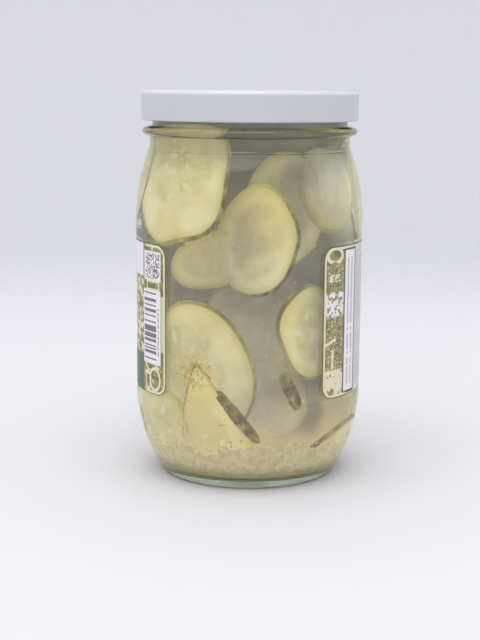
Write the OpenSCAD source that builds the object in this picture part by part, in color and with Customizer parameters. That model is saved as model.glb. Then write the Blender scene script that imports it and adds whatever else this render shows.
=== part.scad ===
// Quart pickle jar: a clear glass jar with a twist-off steel lid, a wrap-around
// label whose two ends leave a bare window at the front, and its brine and
// pickles as one solid. Millimetres, +Z up, the front at -Y, and the origin on
// the table under the middle of the jar.

/* [Glass body] */
// Outside diameter of the body
body_d = 96; // [92:1:120]
// Height of the glass, from the table to the rim
glass_h = 160.6; // [130:0.1:200]
// Wall of the body
wall = 2.4; // [1.6:0.1:3.2]
// Height at which the heel ends and the sides run straight
heel_h = 36; // [24:1:44]
// Height of the shoulder, from the straight sides to the straight neck
shoulder_h = 32; // [24:1:40]
// Radius of the hollow curve where the shoulder meets the neck
neck_fillet = 8; // [4:1:12]

/* [Base] */
// Diameter over the ring that the jar stands on
base_d = 70; // [60:1:76]
// Width of that ring
bearing_w = 2.4; // [1.5:0.1:4]
// Radius of the corner between that ring and the heel
corner_r = 3.5; // [2:0.1:5]
// Rise of the base in the middle
push_up = 2.5; // [1:0.1:4]
// Glass under the contents, at the ring
floor_t = 4.2; // [3:0.1:6]
// Radius of the inside corner, between floor and wall
inner_corner_r = 9; // [5:0.5:12]

/* [Neck and finish] */
// Outside diameter of the finish, at the root of its threads
finish_d = 82; // [66:0.5:82]
// Wall of the finish
finish_wall = 2.7; // [2:0.1:3.4]
// Distance from the rim down to the middle of the bead
finish_h = 15.7; // [14.5:0.1:20]
// Radius of the rim's two edges
rim_r = 0.9; // [0.4:0.1:1]
// How far the neck under the bead stands out from the finish
neck_step = 1; // [0.4:0.1:2]
// Distance from the middle of the bead down to the end of the straight neck
neck_h = 4.9; // [4:0.1:8]
// How far the bead stands out from the finish
bead_out = 4.2; // [3:0.1:5]
// Height of the bead
bead_h = 4.4; // [3:0.1:5]

/* [Threads and lugs] */
// Number of thread bars on the glass, and of lugs on the lid
bars = 6; // [3:1:8]
// How far a thread bar stands out from the finish
bar_out = 2.3; // [1.6:0.1:2.6]
// Height of a thread bar
bar_h = 2.2; // [1.6:0.1:2.6]
// Angle that a thread bar spans
bar_angle = 34; // [20:1:40]
// Height of a lug
lug_h = 1.3; // [1:0.1:1.6]
// Angle that a lug spans
lug_angle = 9; // [5:1:14]
// How far a lug reaches under a thread bar
lug_hook = 1.1; // [0.6:0.1:1.6]
// Gap between a lug and the thread bar over it
lug_gap = 0.2; // [0.1:0.05:0.5]

/* [Lid] */
// Height of the lid
lid_h = 12.7; // [11:0.1:13.5]
// Thickness of the lid's sheet
lid_t = 0.45; // [0.3:0.05:0.8]
// Gap between the thread bars and the lid's skirt
lid_gap = 1.65; // [1:0.05:2.5]
// Radius of the lid's upper edge
lid_edge_r = 2; // [1:0.1:3]
// Radius of the rolled hem at the foot of the skirt
hem_r = 0.85; // [0.6:0.05:1]
// Depth of the sunk panel in the lid's top
panel_sink = 0.8; // [0.3:0.1:1.2]
// Width of the slope around the sunk panel
panel_slope = 1; // [0.5:0.1:2]
// Distance from the mouth's edge in to the sunk panel's slope
panel_in = 2; // [1:0.1:4]
// Thickness of the sealing ring in the lid
seal_t = 0.95; // [0.6:0.05:1.6]
// How far the sealing ring reaches past the rim, on either side
seal_over = 0.8; // [0.3:0.1:1]

/* [Label] */
// Thickness of the label
label_t = 0.2; // [0.1:0.05:0.4]
// How far the label lies below the body's surface
label_sunk = 0.15; // [0.05:0.05:0.4]
// Plain band of glass between the heel and the label's panel
band_low = 0.6; // [0.5:0.1:6]
// Plain band of glass between the label's panel and the shoulder
band_high = 7; // [1:0.1:12]
// Height of the slope at either end of the label's panel
panel_step = 0.4; // [0.2:0.1:1]
// Bare glass left in the panel above and under the label
label_margin = 0.6; // [0.2:0.1:2]
// Radius of the label's corners
label_corner = 5.5; // [2:0.5:8]
// Angle from the front round to the label's end at -X
window_left = 44.5; // [20:0.5:70]
// Angle from the front round to the label's end at +X
window_right = 39; // [20:0.5:70]

/* [Contents] */
// Distance from the rim down to the brine
headspace = 10; // [6:0.5:30]
// Gap between the contents and the glass
fill_gap = 0.05; // [0.02:0.01:0.2]

/* [Hidden] */

$fn = 96;
arc_steps = 18;
small_arc_steps = 8;

body_r = body_d / 2;
inner_r = body_r - wall;
base_r = base_d / 2;
finish_r = finish_d / 2;
mouth_r = finish_r - finish_wall;
neck_r = finish_r + neck_step;

bead_z = glass_h - finish_h;
neck_z = bead_z - neck_h;
shoulder_z = neck_z - shoulder_h;

label_panel_r = body_r - label_t - label_sunk;
label_panel_low = heel_h + band_low;
label_panel_high = shoulder_z - band_high;
label_low = label_panel_low + panel_step + label_margin;
label_high = label_panel_high - panel_step - label_margin;

lid_r = finish_r + bar_out + lid_gap + lid_t;
lid_top = glass_h + seal_t + lid_t;
lid_low = lid_top - lid_h;
lug_top = lid_low + lug_h;
bar_low = lug_top + lug_gap;
fill_z = glass_h - headspace;

// Points along an arc round [x, z], from angle a to angle b.
function arc(x, z, r, a, b, steps = arc_steps) =
    [for (i = [0 : steps]) let (t = a + (b - a) * i / steps) [x + r * cos(t), z + r * sin(t)]];

// Radius of the arc that leaves a wall upright and touches, from outside, a
// corner circle of radius c that lies u in from the wall and v below.
function heel_radius(u, v, c) = (u * u + v * v - c * c) / (2 * (u - c));

// Radius of the arc with the given rise over the given half width.
function dome_radius(half, rise) = (half * half + rise * rise) / (2 * rise);

// Sum of the radii of the two arcs, one swelling and one hollow, that carry a
// wall in by d over a height h and leave it upright at both ends.
function ogee_sum(d, h) = (d * d + h * h) / (2 * d);

// The ogee of a shoulder from radius r_low at z_low in to r_high, with a
// hollow curve of radius f at its upper end.
function shoulder_arcs(r_low, r_high, z_low, h, f) =
    let (sum = ogee_sum(r_low - r_high, h), turn = asin(h / sum))
    concat(
        arc(r_low - sum + f, z_low, sum - f, 0, turn),
        arc(r_high + f, z_low + h, f, 180 + turn, 180, small_arc_steps));

heel_arc_r = heel_radius(body_r - base_r, heel_h - corner_r, corner_r);
heel_x = body_r - heel_arc_r;
heel_turn = atan((heel_h - corner_r) / (base_r - heel_x));

// The outline of the hollow in the glass, grown outwards by g, from the middle
// of the floor up to where the neck runs straight.
function hollow(g) =
    let (
        r_heel = heel_arc_r - wall + g,
        r_corner = inner_corner_r + g,
        z_corner = floor_t + inner_corner_r,
        x_corner = heel_x + sqrt(pow(r_heel - r_corner, 2) - pow(heel_h - z_corner, 2)),
        turn = atan((heel_h - z_corner) / (x_corner - heel_x)),
        dome = dome_radius(x_corner, push_up),
        dome_turn = asin(x_corner / dome))
    concat(
        arc(0, floor_t - g + push_up - dome, dome, 90, 90 - dome_turn, small_arc_steps),
        arc(x_corner, z_corner, r_corner, -90, -turn, small_arc_steps),
        arc(heel_x, heel_h, r_heel, -turn, 0),
        shoulder_arcs(inner_r + g, mouth_r + g, shoulder_z, shoulder_h, neck_fillet));

// The outline of the outside of the glass, from the push-up to the rim.
function outside() =
    let (
        ring_r = base_r - bearing_w,
        dome = dome_radius(ring_r, push_up),
        dome_turn = asin(ring_r / dome))
    concat(
        arc(0, push_up - dome, dome, 90, 90 - dome_turn, small_arc_steps),
        arc(base_r, corner_r, corner_r, -90, -heel_turn, small_arc_steps),
        arc(heel_x, heel_h, heel_arc_r, -heel_turn, 0),
        [
            [body_r, label_panel_low],
            [label_panel_r, label_panel_low + panel_step],
            [label_panel_r, label_panel_high - panel_step],
            [body_r, label_panel_high]],
        shoulder_arcs(body_r, neck_r, shoulder_z, shoulder_h, neck_fillet),
        [[neck_r, bead_z], [finish_r, bead_z]],
        arc(finish_r - rim_r, glass_h - rim_r, rim_r, 0, 90, small_arc_steps),
        [[0, glass_h]]);

// The bead is half of an ellipse, rooted in the middle of the finish's wall.
module bead_section() {
    root_r = finish_r - finish_wall / 2;
    polygon(concat(
        [[root_r, bead_z - bead_h / 2]],
        [for (i = [-small_arc_steps : small_arc_steps]) let (t = 90 * i / small_arc_steps)
            [finish_r + bead_out * cos(t), bead_z + bead_h / 2 * sin(t)]],
        [[root_r, bead_z + bead_h / 2]]));
}

// The hollow in the glass, out through the rounded mouth.
module hollow_section() {
    over = 1;
    polygon(concat(
        hollow(0),
        arc(mouth_r + rim_r, glass_h - rim_r, rim_r, 180, 90, small_arc_steps),
        [[mouth_r + rim_r, glass_h + over], [0, glass_h + over]]));
}

module jar() {
    color([0.84, 0.88, 0.86, 0.35])
    union() {
        rotate_extrude()
        difference() {
            union() {
                polygon(outside());
                bead_section();
            }
            hollow_section();
        }
        for (i = [0 : bars - 1]) rotate(i * 360 / bars) thread_bar();
    }
}

// One thread bar, with its middle over +X. It bites a little into the finish.
module thread_bar() {
    bite = finish_wall / 3;
    rotate(-bar_angle / 2)
    rotate_extrude(angle = bar_angle)
    polygon([
        [finish_r - bite, bar_low],
        [finish_r + bar_out, bar_low],
        [finish_r + bar_out, bar_low + bar_h / 2],
        [finish_r - bite, bar_low + bar_h]]);
}

// Half of the lid's section: a sunk panel, a raised ring and a plain skirt.
module lid_section() {
    slope_out = mouth_r - panel_in;
    slope_in = slope_out - panel_slope;
    top = lid_top;
    polygon(concat(
        [
            [0, top - panel_sink],
            [slope_in, top - panel_sink],
            [slope_out, top]],
        arc(lid_r - lid_edge_r, top - lid_edge_r, lid_edge_r, 90, 0, small_arc_steps),
        [
            [lid_r, lid_low + hem_r],
            [lid_r - lid_t, lid_low + hem_r]],
        arc(lid_r - lid_edge_r, top - lid_edge_r, lid_edge_r - lid_t, 0, 90, small_arc_steps),
        [
            [slope_out, top - lid_t],
            [slope_in, top - panel_sink - lid_t],
            [0, top - panel_sink - lid_t]]));
    translate([lid_r - hem_r, lid_low + hem_r]) circle(hem_r, $fn = 32);
}

module lid() {
    color([0.90, 0.91, 0.93])
    union() {
        rotate_extrude() lid_section();
        for (i = [0 : bars - 1]) rotate(i * 360 / bars) lug();
    }
}

// One lug, with its middle over +X, that reaches in from the hem.
module lug() {
    lug_in = finish_r + bar_out - lug_hook;
    rotate(-lug_angle / 2)
    rotate_extrude(angle = lug_angle)
    translate([lug_in, lug_top - lug_h / 2])
    square([lid_r - hem_r - lug_in, lug_h / 2]);
}

module seal() {
    color([0.80, 0.80, 0.78])
    rotate_extrude()
    translate([mouth_r - seal_over, glass_h])
    square([finish_wall + 2 * seal_over, seal_t]);
}

// What is cut off a corner of the label that points to -X and down, with the
// corner on the Z axis, where the label faces -Y. The round runs a little past
// the label's edges, so that it crosses them.
module corner_cut() {
    over = 1;
    past = 0.05;
    middle = label_corner - past;
    difference() {
        translate([-over, -body_r, -over])
        cube([middle + over, body_r, middle + over]);
        translate([middle, 0, middle])
        rotate([90, 0, 0])
        cylinder(h = body_r, r = label_corner);
    }
}

// Both corners cut off the end of the label that points to -X.
module end_cut() {
    translate([0, 0, label_low]) corner_cut();
    translate([0, 0, label_high]) mirror([0, 0, 1]) corner_cut();
}

module label() {
    span = 360 - window_left - window_right;
    color([0.83, 0.82, 0.70])
    difference() {
        rotate(window_right - 90)
        rotate_extrude(angle = span)
        translate([label_panel_r, label_low])
        square([label_t, label_high - label_low]);
        rotate(window_right) end_cut();
        rotate(-window_left) mirror([1, 0, 0]) end_cut();
    }
}

module contents() {
    color([0.72, 0.70, 0.52])
    rotate_extrude()
    polygon(concat(hollow(-fill_gap), [[mouth_r - fill_gap, fill_z], [0, fill_z]]));
}

jar();
lid();
seal();
label();
contents();
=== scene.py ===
"""A quart jar of pickle slices: clear glass, a white twist-off lid and a wrap-around label.

Lengths are in millimetres until a mesh is made, heights are over the table, and an azimuth is
measured from the front of the jar (-Y) towards its right side (+X).
"""

import logging
import math
from collections.abc import Mapping, Sequence
from dataclasses import dataclass
from enum import Enum
from typing import Any, Union

import bpy
import numpy as np
from mathutils import Matrix, Vector


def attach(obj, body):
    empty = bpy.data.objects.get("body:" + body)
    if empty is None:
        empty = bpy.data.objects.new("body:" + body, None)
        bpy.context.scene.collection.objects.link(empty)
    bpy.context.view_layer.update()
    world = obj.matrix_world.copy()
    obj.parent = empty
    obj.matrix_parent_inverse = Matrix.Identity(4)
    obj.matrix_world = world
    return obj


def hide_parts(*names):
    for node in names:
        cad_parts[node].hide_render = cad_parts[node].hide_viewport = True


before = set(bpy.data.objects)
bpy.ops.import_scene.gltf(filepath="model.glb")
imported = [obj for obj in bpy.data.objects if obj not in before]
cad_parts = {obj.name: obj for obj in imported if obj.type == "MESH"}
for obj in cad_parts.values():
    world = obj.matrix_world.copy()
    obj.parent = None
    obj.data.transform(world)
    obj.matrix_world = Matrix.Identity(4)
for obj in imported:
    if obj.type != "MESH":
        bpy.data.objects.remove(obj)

Grid = np.ndarray
Colour = tuple[float, float, float, float]
MM = 0.001
BODY = "root"
log = logging.getLogger("pickle_jar")


class Slot(Enum):
    """Names for the jar's material slots."""

    GLASS = "clear_glass"
    LID = "white_lid"
    SEAL = "sealing_ring"
    LABEL = "label_film"
    CONTENTS = "brine_and_pickles"


def tone(red: int, green: int, blue: int) -> Colour:
    """A colour mixed from display values, made linear light.

    Args:
        red: display value from 0 to 255.
        green: the same for green.
        blue: the same for blue.

    Returns:
        The linear colour, opaque.
    """
    shares = np.array([red, green, blue]) / 255.0
    linear = np.where(shares <= 0.04045, shares / 12.92, ((shares + 0.055) / 1.055) ** 2.4)
    return (float(linear[0]), float(linear[1]), float(linear[2]), 1.0)


# ---------------------------------------------------------------- outlines


def arc(x: float, z: float, r: float, start: float, end: float) -> Grid:
    """Points (x + r cos t, z + r sin t) along a part of a circle, at most 2 degrees apart.

    Args:
        x: radius of the circle's middle from the jar's axis.
        z: height of the circle's middle.
        r: the circle's own radius.
        start: the first t, in degrees from straight out.
        end: the last t.

    Returns:
        The points (radius, height).
    """
    steps = max(6, math.ceil(abs(end - start) / 2))
    turn = np.radians(np.linspace(start, end, steps + 1))
    return np.stack([x + r * np.cos(turn), z + r * np.sin(turn)], axis=1)


def softened(corners: Sequence[tuple[float, float, float]]) -> Grid:
    """A line through corners that are eased.

    Each corner (r, z, reach) becomes the parabola that leaves one side and meets the other at
    that reach from the corner.

    Args:
        corners: radius, height and reach of each corner; the two ends aren't eased.

    Returns:
        The points of the line.
    """
    spots = np.array([corner[:2] for corner in corners], float)
    t = np.linspace(0, 1, 9)[:, None]
    runs = [spots[:1]]
    for before, here, after, corner in zip(spots[:-2], spots[1:-1], spots[2:], corners[1:-1]):
        back = here + (before - here) / np.linalg.norm(before - here) * corner[2]
        ahead = here + (after - here) / np.linalg.norm(after - here) * corner[2]
        runs.append((1 - t) ** 2 * back + 2 * t * (1 - t) * here + t**2 * ahead)
    return np.vstack(runs + [spots[-1:]])


def spread(
    line: Grid, step: float, turn: float, close: Sequence[tuple[float, float, float]] = ()
) -> Grid:
    """Rows along a line, close together where it turns.

    The rows are even in the running sum of length / step + turning / turn, and between the two
    heights of each close band, length / the band's own step is added to it.

    Args:
        line: points (radius, height).
        step: largest distance between rows.
        turn: largest turn between rows, in degrees.
        close: bands (low, high, step) that need closer rows.

    Returns:
        The rows (radius, height), with the line's two ends kept.
    """
    moved = np.linalg.norm(np.diff(line, axis=0), axis=1) > 1e-6
    line = line[np.r_[True, moved]]
    along = np.r_[0, np.cumsum(np.linalg.norm(np.diff(line, axis=0), axis=1))]
    fine_step = 0.04
    fine = np.linspace(0, along[-1], int(along[-1] / fine_step) + 2)
    dots = np.stack([np.interp(fine, along, line[:, k]) for k in (0, 1)], axis=1)
    leap = np.diff(dots, axis=0)
    heading = np.unwrap(np.arctan2(leap[:, 1], leap[:, 0]))
    length = np.linalg.norm(leap, axis=1)
    weight = length / step + np.r_[0, np.abs(np.diff(heading))] / math.radians(turn)
    middle = (dots[1:, 1] + dots[:-1, 1]) / 2
    for low, high, near in close:
        weight += length / near * ((middle > low) & (middle < high))
    total = np.r_[0, np.cumsum(weight)]
    wanted = np.linspace(0, total[-1], math.ceil(total[-1]) + 1)
    return np.stack([np.interp(wanted, total, dots[:, k]) for k in (0, 1)], axis=1)


def smooth(value: Grid, low: float, high: float) -> Grid:
    """0 under low, 1 over high, and 3 t^2 - 2 t^3 of the share t between them."""
    t = np.clip((value - low) / (high - low), 0, 1)
    return t * t * (3 - 2 * t)


def turned(first: Grid, second: Grid, angle: float) -> tuple[Grid, Grid]:
    """Two measures turned into each other: a cos t + b sin t, and b cos t - a sin t.

    Args:
        first: the measure a.
        second: the measure b.
        angle: the angle t in radians.

    Returns:
        The two turned measures.
    """
    c, s = math.cos(angle), math.sin(angle)
    return first * c + second * s, second * c - first * s


def ripples(points: Grid, wave: float, seed: int, count: int = 10) -> Grid:
    """Gentle unevenness: the mean of sines along seeded directions.

    Args:
        points: points (..., xyz) in millimetres.
        wave: about how long the waves are.
        seed: which of the many such fields it is.
        count: how many sines.

    Returns:
        A value for each point, mostly from -1 to 1.
    """
    draw = np.random.default_rng(seed)
    way = draw.normal(size=(count, 3))
    way /= np.linalg.norm(way, axis=1, keepdims=True)
    way *= 2 * np.pi / (wave * draw.uniform(0.7, 1.5, size=(count, 1)))
    phase = draw.uniform(0, 2 * np.pi, size=count)
    return np.sin(points @ way.T + phase).sum(axis=-1) / math.sqrt(count) / 1.4


def round_axis(rows: Grid, columns: int, push: Union[Grid, None] = None) -> Grid:
    """Rows (radius, height) carried round the Z axis.

    Args:
        rows: points (radius, height), which start and end on the axis.
        columns: how many places round the axis.
        push: how far each point (row, column) is moved out from the axis.

    Returns:
        Points (1, row, column, xyz), at (r cos a, r sin a, z).
    """
    angle = np.linspace(0, 2 * np.pi, columns, endpoint=False)
    radius = rows[:, :1] + (np.zeros((1, columns)) if push is None else push)
    high = np.broadcast_to(rows[:, 1:], radius.shape)
    return np.stack([radius * np.cos(angle), radius * np.sin(angle), high], axis=-1)[None]


def from_nearest(columns: int, places: int) -> Grid:
    """How far each column round the axis is from the nearest of some even places.

    Args:
        columns: how many columns.
        places: how many places, the first of them at angle 0.

    Returns:
        The distances (1, column), in degrees.
    """
    angle = np.degrees(np.linspace(0, 2 * np.pi, columns, endpoint=False))
    pitch = 360 / places
    return np.abs((angle + pitch / 2) % pitch - pitch / 2)[None]


def moved_out(points: Grid, push: Grid) -> Grid:
    """Points moved straight out from the Z axis: x and y each times 1 + push / radius.

    Args:
        points: points (..., xyz).
        push: how far each point is moved.

    Returns:
        The moved points.
    """
    radius = np.maximum(np.linalg.norm(points[..., :2], axis=-1), 1e-6)
    level = points * np.array([1.0, 1.0, 0.0])
    return points + level * (push / radius)[..., None]


# ---------------------------------------------------------------- meshes


def bare_mesh(name: str, corners: Grid, quads: Grid, triangles: Grid) -> bpy.types.Mesh:
    """A smooth-shaded mesh from points in millimetres and the point numbers of its faces.

    Args:
        name: the mesh's name.
        corners: points (count, xyz).
        quads: point numbers (count, 4), anticlockwise from outside.
        triangles: point numbers (count, 3), anticlockwise from outside.

    Returns:
        The mesh, in metres.
    """
    mesh = bpy.data.meshes.new(name)
    mesh.vertices.add(len(corners))
    mesh.vertices.foreach_set("co", (corners * MM).astype(np.float32).ravel())
    loops = np.concatenate([quads.ravel(), triangles.ravel()]).astype(np.int32)
    mesh.loops.add(len(loops))
    mesh.loops.foreach_set("vertex_index", loops)
    starts = np.concatenate(
        [np.arange(len(quads)) * 4, len(quads) * 4 + np.arange(len(triangles)) * 3]
    )
    mesh.polygons.add(len(starts))
    mesh.polygons.foreach_set("loop_start", starts.astype(np.int32))
    mesh.polygons.foreach_set("use_smooth", np.ones(len(starts), bool))
    mesh.update(calc_edges=True)
    mesh.validate()
    return mesh


def shells(name: str, points: Grid, marks: Union[Mapping[str, Grid], None] = None) -> bpy.types.Mesh:
    """One mesh of closed skins.

    Each skin is a grid of rows and columns whose columns close on themselves, and whose first
    and last rows are each a single point.

    Args:
        name: the mesh's name.
        points: points (skin, row, column, xyz) in millimetres; where rows run up, columns run
            anticlockwise from above.
        marks: values (skin, row, column) that are kept as attributes of the points.

    Returns:
        The mesh.
    """
    count, rows, columns = points.shape[:3]
    inner = (rows - 2) * columns

    def listed(grid: Grid) -> Grid:
        """The values of a grid (skin, row, column, ...) in the order of the mesh's points.

        Args:
            grid: the values; those of an end row are all the same.

        Returns:
            The values, with one for each end row.
        """
        rest = grid.shape[3:]
        body = grid[:, 1:-1].reshape(count, inner, *rest)
        return np.concatenate([grid[:, 0, :1], body, grid[:, -1, :1]], axis=1).reshape(-1, *rest)

    ring = 1 + np.arange(inner).reshape(rows - 2, columns)
    beside = np.roll(ring, -1, axis=1)
    quads = np.stack([ring[:-1], beside[:-1], beside[1:], ring[1:]], axis=-1).reshape(-1, 4)
    first = np.stack([np.zeros(columns, int), beside[0], ring[0]], axis=-1)
    last = np.stack([ring[-1], beside[-1], np.full(columns, inner + 1)], axis=-1)
    offset = (np.arange(count) * (inner + 2))[:, None, None]
    caps = np.concatenate([first, last])
    mesh = bare_mesh(
        name, listed(points), (quads + offset).reshape(-1, 4), (caps + offset).reshape(-1, 3)
    )
    for title, values in (marks or {}).items():
        mark = mesh.attributes.new(title, "FLOAT", "POINT")
        mark.data.foreach_set("value", listed(values).astype(np.float32))
    return mesh


def place(mesh: bpy.types.Mesh, material: bpy.types.Material) -> bpy.types.Object:
    """Puts a mesh in the scene with its finish, on the jar's one body, and reports it.

    Args:
        mesh: the mesh, whose name the piece takes.
        material: its finish.

    Returns:
        The piece.
    """
    mesh.materials.append(material)
    piece = bpy.data.objects.new(mesh.name, mesh)
    bpy.context.scene.collection.objects.link(piece)
    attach(piece, BODY)
    faces = sum(len(p.vertices) - 2 for p in mesh.polygons)
    log.info("%s: %d triangles, finish %s", piece.name, faces, material.name)
    return piece


# ---------------------------------------------------------------- finishes


class Wire:
    """A value in a finish; arithmetic on it adds the Math nodes that work it out."""

    def __init__(self, bench: "Bench", socket: bpy.types.NodeSocket) -> None:
        """Keeps the socket that gives the value."""
        self.bench = bench
        self.socket = socket

    def math(self, operation: str, *others: Any) -> "Wire":
        """The result of a Math node on this value and any others."""
        values = {k: v for k, v in enumerate((self, *others))}
        return self.bench.add("ShaderNodeMath", {"operation": operation}, values)

    def __add__(self, other: Any) -> "Wire":
        """This plus other."""
        return self.math("ADD", other)

    def __sub__(self, other: Any) -> "Wire":
        """This minus other."""
        return self.math("SUBTRACT", other)

    def __rsub__(self, other: float) -> "Wire":
        """Other minus this."""
        return self.math("MULTIPLY", -1.0).math("ADD", other)

    def __mul__(self, other: Any) -> "Wire":
        """This times other."""
        return self.math("MULTIPLY", other)

    def __truediv__(self, other: Any) -> "Wire":
        """This over other."""
        return self.math("DIVIDE", other)

    def __pow__(self, other: Any) -> "Wire":
        """This to the power of other."""
        return self.math("POWER", other)

    def __abs__(self) -> "Wire":
        """This without its sign."""
        return self.math("ABSOLUTE")

    def floor(self) -> "Wire":
        """The whole number under this."""
        return self.math("FLOOR")

    def least(self, other: Any) -> "Wire":
        """The smaller of this and other."""
        return self.math("MINIMUM", other)

    def most(self, other: Any) -> "Wire":
        """The larger of this and other."""
        return self.math("MAXIMUM", other)

    def step(self, low: float, high: float) -> "Wire":
        """A smooth rise, 3 t^2 - 2 t^3 for the share t of the way from low to high.

        Args:
            low: where it is still 0.
            high: where it has come to 1; if this is the lower of the two, it falls instead.

        Returns:
            The rise, from 0 to 1.
        """
        return self.bench.add(
            "ShaderNodeMapRange",
            {"interpolation_type": "SMOOTHSTEP"},
            {0: self, 1: low, 2: high, 3: 0.0, 4: 1.0},
        )

    def between(self, low: float, high: float, soft: float = 0.1) -> "Wire":
        """1 from low to high and 0 elsewhere, with edges twice soft wide."""
        return self.step(low - soft, low + soft) - self.step(high - soft, high + soft)


class Bench:
    """One material and the nodes added to it."""

    def __init__(self, name: str) -> None:
        """Makes an empty material.

        Args:
            name: the material's name.
        """
        self.material = bpy.data.materials.new(name)
        self.material.use_nodes = True
        self.tree = self.material.node_tree
        self.tree.nodes.clear()

    def add(
        self,
        kind: str,
        settings: Union[Mapping[str, Any], None] = None,
        sockets: Union[Mapping[Union[int, str], Any], None] = None,
        output: Union[int, str] = 0,
    ) -> Wire:
        """Adds a node.

        Args:
            kind: the node's type.
            settings: its settings.
            sockets: a value or a wire for each named or numbered socket.
            output: which of its outputs is wanted.

        Returns:
            The wanted output.
        """
        node = self.tree.nodes.new(kind)
        for title, value in (settings or {}).items():
            setattr(node, title, value)
        for title, value in (sockets or {}).items():
            if isinstance(value, Wire):
                self.tree.links.new(value.socket, node.inputs[title])
            else:
                node.inputs[title].default_value = value
        return Wire(self, node.outputs[output])

    def place(self) -> Wire:
        """The point's place on the jar, in metres."""
        return self.add("ShaderNodeTexCoord", output="Object")

    def height(self) -> Wire:
        """The point's height over the table, in metres."""
        return self.add("ShaderNodeSeparateXYZ", None, {0: self.place()}, "Z")

    def mark(self, title: str) -> Wire:
        """The value of one of the mesh's attributes."""
        return self.add("ShaderNodeAttribute", {"attribute_name": title}, output="Fac")

    def noise(self, scale: float, detail: float = 3.0, rough: float = 0.5, at: Any = None) -> Wire:
        """Cloudy noise from 0 to 1.

        Args:
            scale: cells to the metre, or to the unit of the place that is given.
            detail: how many finer layers it has.
            rough: how strong the finer layers are.
            at: the place it depends on, if that isn't the place on the jar.

        Returns:
            The noise.
        """
        where = self.place() if at is None else at
        values = {"Vector": where, "Scale": scale, "Detail": detail, "Roughness": rough}
        return self.add("ShaderNodeTexNoise", None, values, "Fac")

    def blend(self, share: Any, base: Any, top: Any) -> Wire:
        """The colour base, with this share of the colour top."""
        return self.add("ShaderNodeMix", {"data_type": "RGBA"}, {0: share, 6: base, 7: top}, 2)

    def bump(self, height: Wire, distance: float, strength: float = 1.0) -> Wire:
        """The normal of a surface raised by height times distance, in metres."""
        values = {"Height": height, "Distance": distance, "Strength": strength}
        return self.add("ShaderNodeBump", None, values, "Normal")

    def surface(self, sockets: Mapping[str, Any]) -> Wire:
        """A Principled surface."""
        return self.add("ShaderNodeBsdfPrincipled", None, sockets)

    def glowing(self, colour: Wire, glow: float, sockets: Mapping[str, Any]) -> Wire:
        """A Principled surface that also sends out its own colour as a painted glow, standing in for
        light that reaches it.

        Args:
            colour: its colour.
            glow: how strongly it sends that out.
            sockets: the values of its other sockets.

        Returns:
            The surface.
        """
        # painted light: the emission brightens the surface as light reaching it would
        light = {"Base Color": colour, "Emission Color": colour, "Emission Strength": glow}
        return self.surface({**light, **sockets})

    def clear(self, colour: Colour, ior: float, tint: Colour, density: float) -> bpy.types.Material:
        """Finishes the material as a smooth clear body that takes on a tint with depth.

        Args:
            colour: what its face lets through.
            ior: its index of refraction.
            tint: the colour that light takes on inside.
            density: how fast it does, for each metre.

        Returns:
            The material.
        """
        surface = self.surface(
            {"Base Color": colour, "Roughness": 0.0, "IOR": ior, "Transmission Weight": 1.0}
        )
        depth = {"Color": tint, "Density": density}
        return self.done(surface, self.add("ShaderNodeVolumeAbsorption", None, depth))

    def done(self, surface: Wire, volume: Union[Wire, None] = None) -> bpy.types.Material:
        """Gives the material its surface, and its volume if it has one.

        Args:
            surface: the surface.
            volume: the volume.

        Returns:
            The material.
        """
        end = self.tree.nodes.new("ShaderNodeOutputMaterial")
        self.tree.links.new(surface.socket, end.inputs["Surface"])
        if volume is not None:
            self.tree.links.new(volume.socket, end.inputs["Volume"])
        return self.material


@dataclass(frozen=True)
class ClearGlass:
    """Soda-lime glass: clear, smooth and faintly green where it is thick."""

    face: Colour = (0.985, 0.995, 0.99, 1.0)
    tint: Colour = (0.66, 0.74, 0.56, 1.0)
    density: float = 24.0
    ior: float = 1.5

    def material(self) -> bpy.types.Material:
        """The glass."""
        return Bench("clear_glass").clear(self.face, self.ior, self.tint, self.density)


@dataclass(frozen=True)
class PickleBrine:
    """Thin, slightly yellow brine; its haze is on what lies in it."""

    face: Colour = (1.0, 1.0, 1.0, 1.0)
    tint: Colour = (0.80, 0.76, 0.52, 1.0)
    density: float = 6.0
    ior: float = 1.34

    def material(self) -> bpy.types.Material:
        """The brine."""
        return Bench("pickle_brine").clear(self.face, self.ior, self.tint, self.density)


@dataclass(frozen=True)
class Fade:
    """A change over a stretch of height: where it starts and ends, in metres, and its share."""

    start: float
    end: float
    share: float = 1.0

    def over(self, height: Wire) -> Wire:
        """Nothing under the start, and the share over the end."""
        return height.step(self.start, self.end) * self.share

    def under(self, height: Wire) -> Wire:
        """The share under the start, and nothing over the end."""
        return (1 - height.step(self.start, self.end)) * self.share


@dataclass(frozen=True)
class Pocket:
    """A darker or paler place in the brine: painted shadow where it is darker, as between slices and
    beside the label, and painted light where it is paler, where light comes through from behind.

    It is a ball of the given reach round a middle at an azimuth, a height and a radius. The
    haze takes this share of its colour at the middle, and none of it at the reach.
    """

    azimuth: float
    height: float
    reach: float
    colour: Colour
    share: float = 0.8
    radius: float = 40.0
    core: float = 0.15

    def middle(self) -> tuple[float, float, float]:
        """The middle of the ball: (r sin a, -r cos a, z) for the azimuth a.

        Returns:
            The place, in metres.
        """
        a = math.radians(self.azimuth)
        out = self.radius * MM
        return (math.sin(a) * out, -math.cos(a) * out, self.height * MM)

    def laid(self, bench: Bench, base: Wire) -> Wire:
        """Lays the spot of painted shade and light over a haze.

        Args:
            bench: the material's bench.
            base: the haze so far.

        Returns:
            The haze with the pocket in it.
        """
        ends = {0: bench.place(), 1: self.middle()}
        far = bench.add("ShaderNodeVectorMath", {"operation": "DISTANCE"}, ends, "Value")
        near = 1 - far.step(self.reach * self.core * MM, self.reach * MM)
        return bench.blend(near * self.share, base, self.colour)


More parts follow.
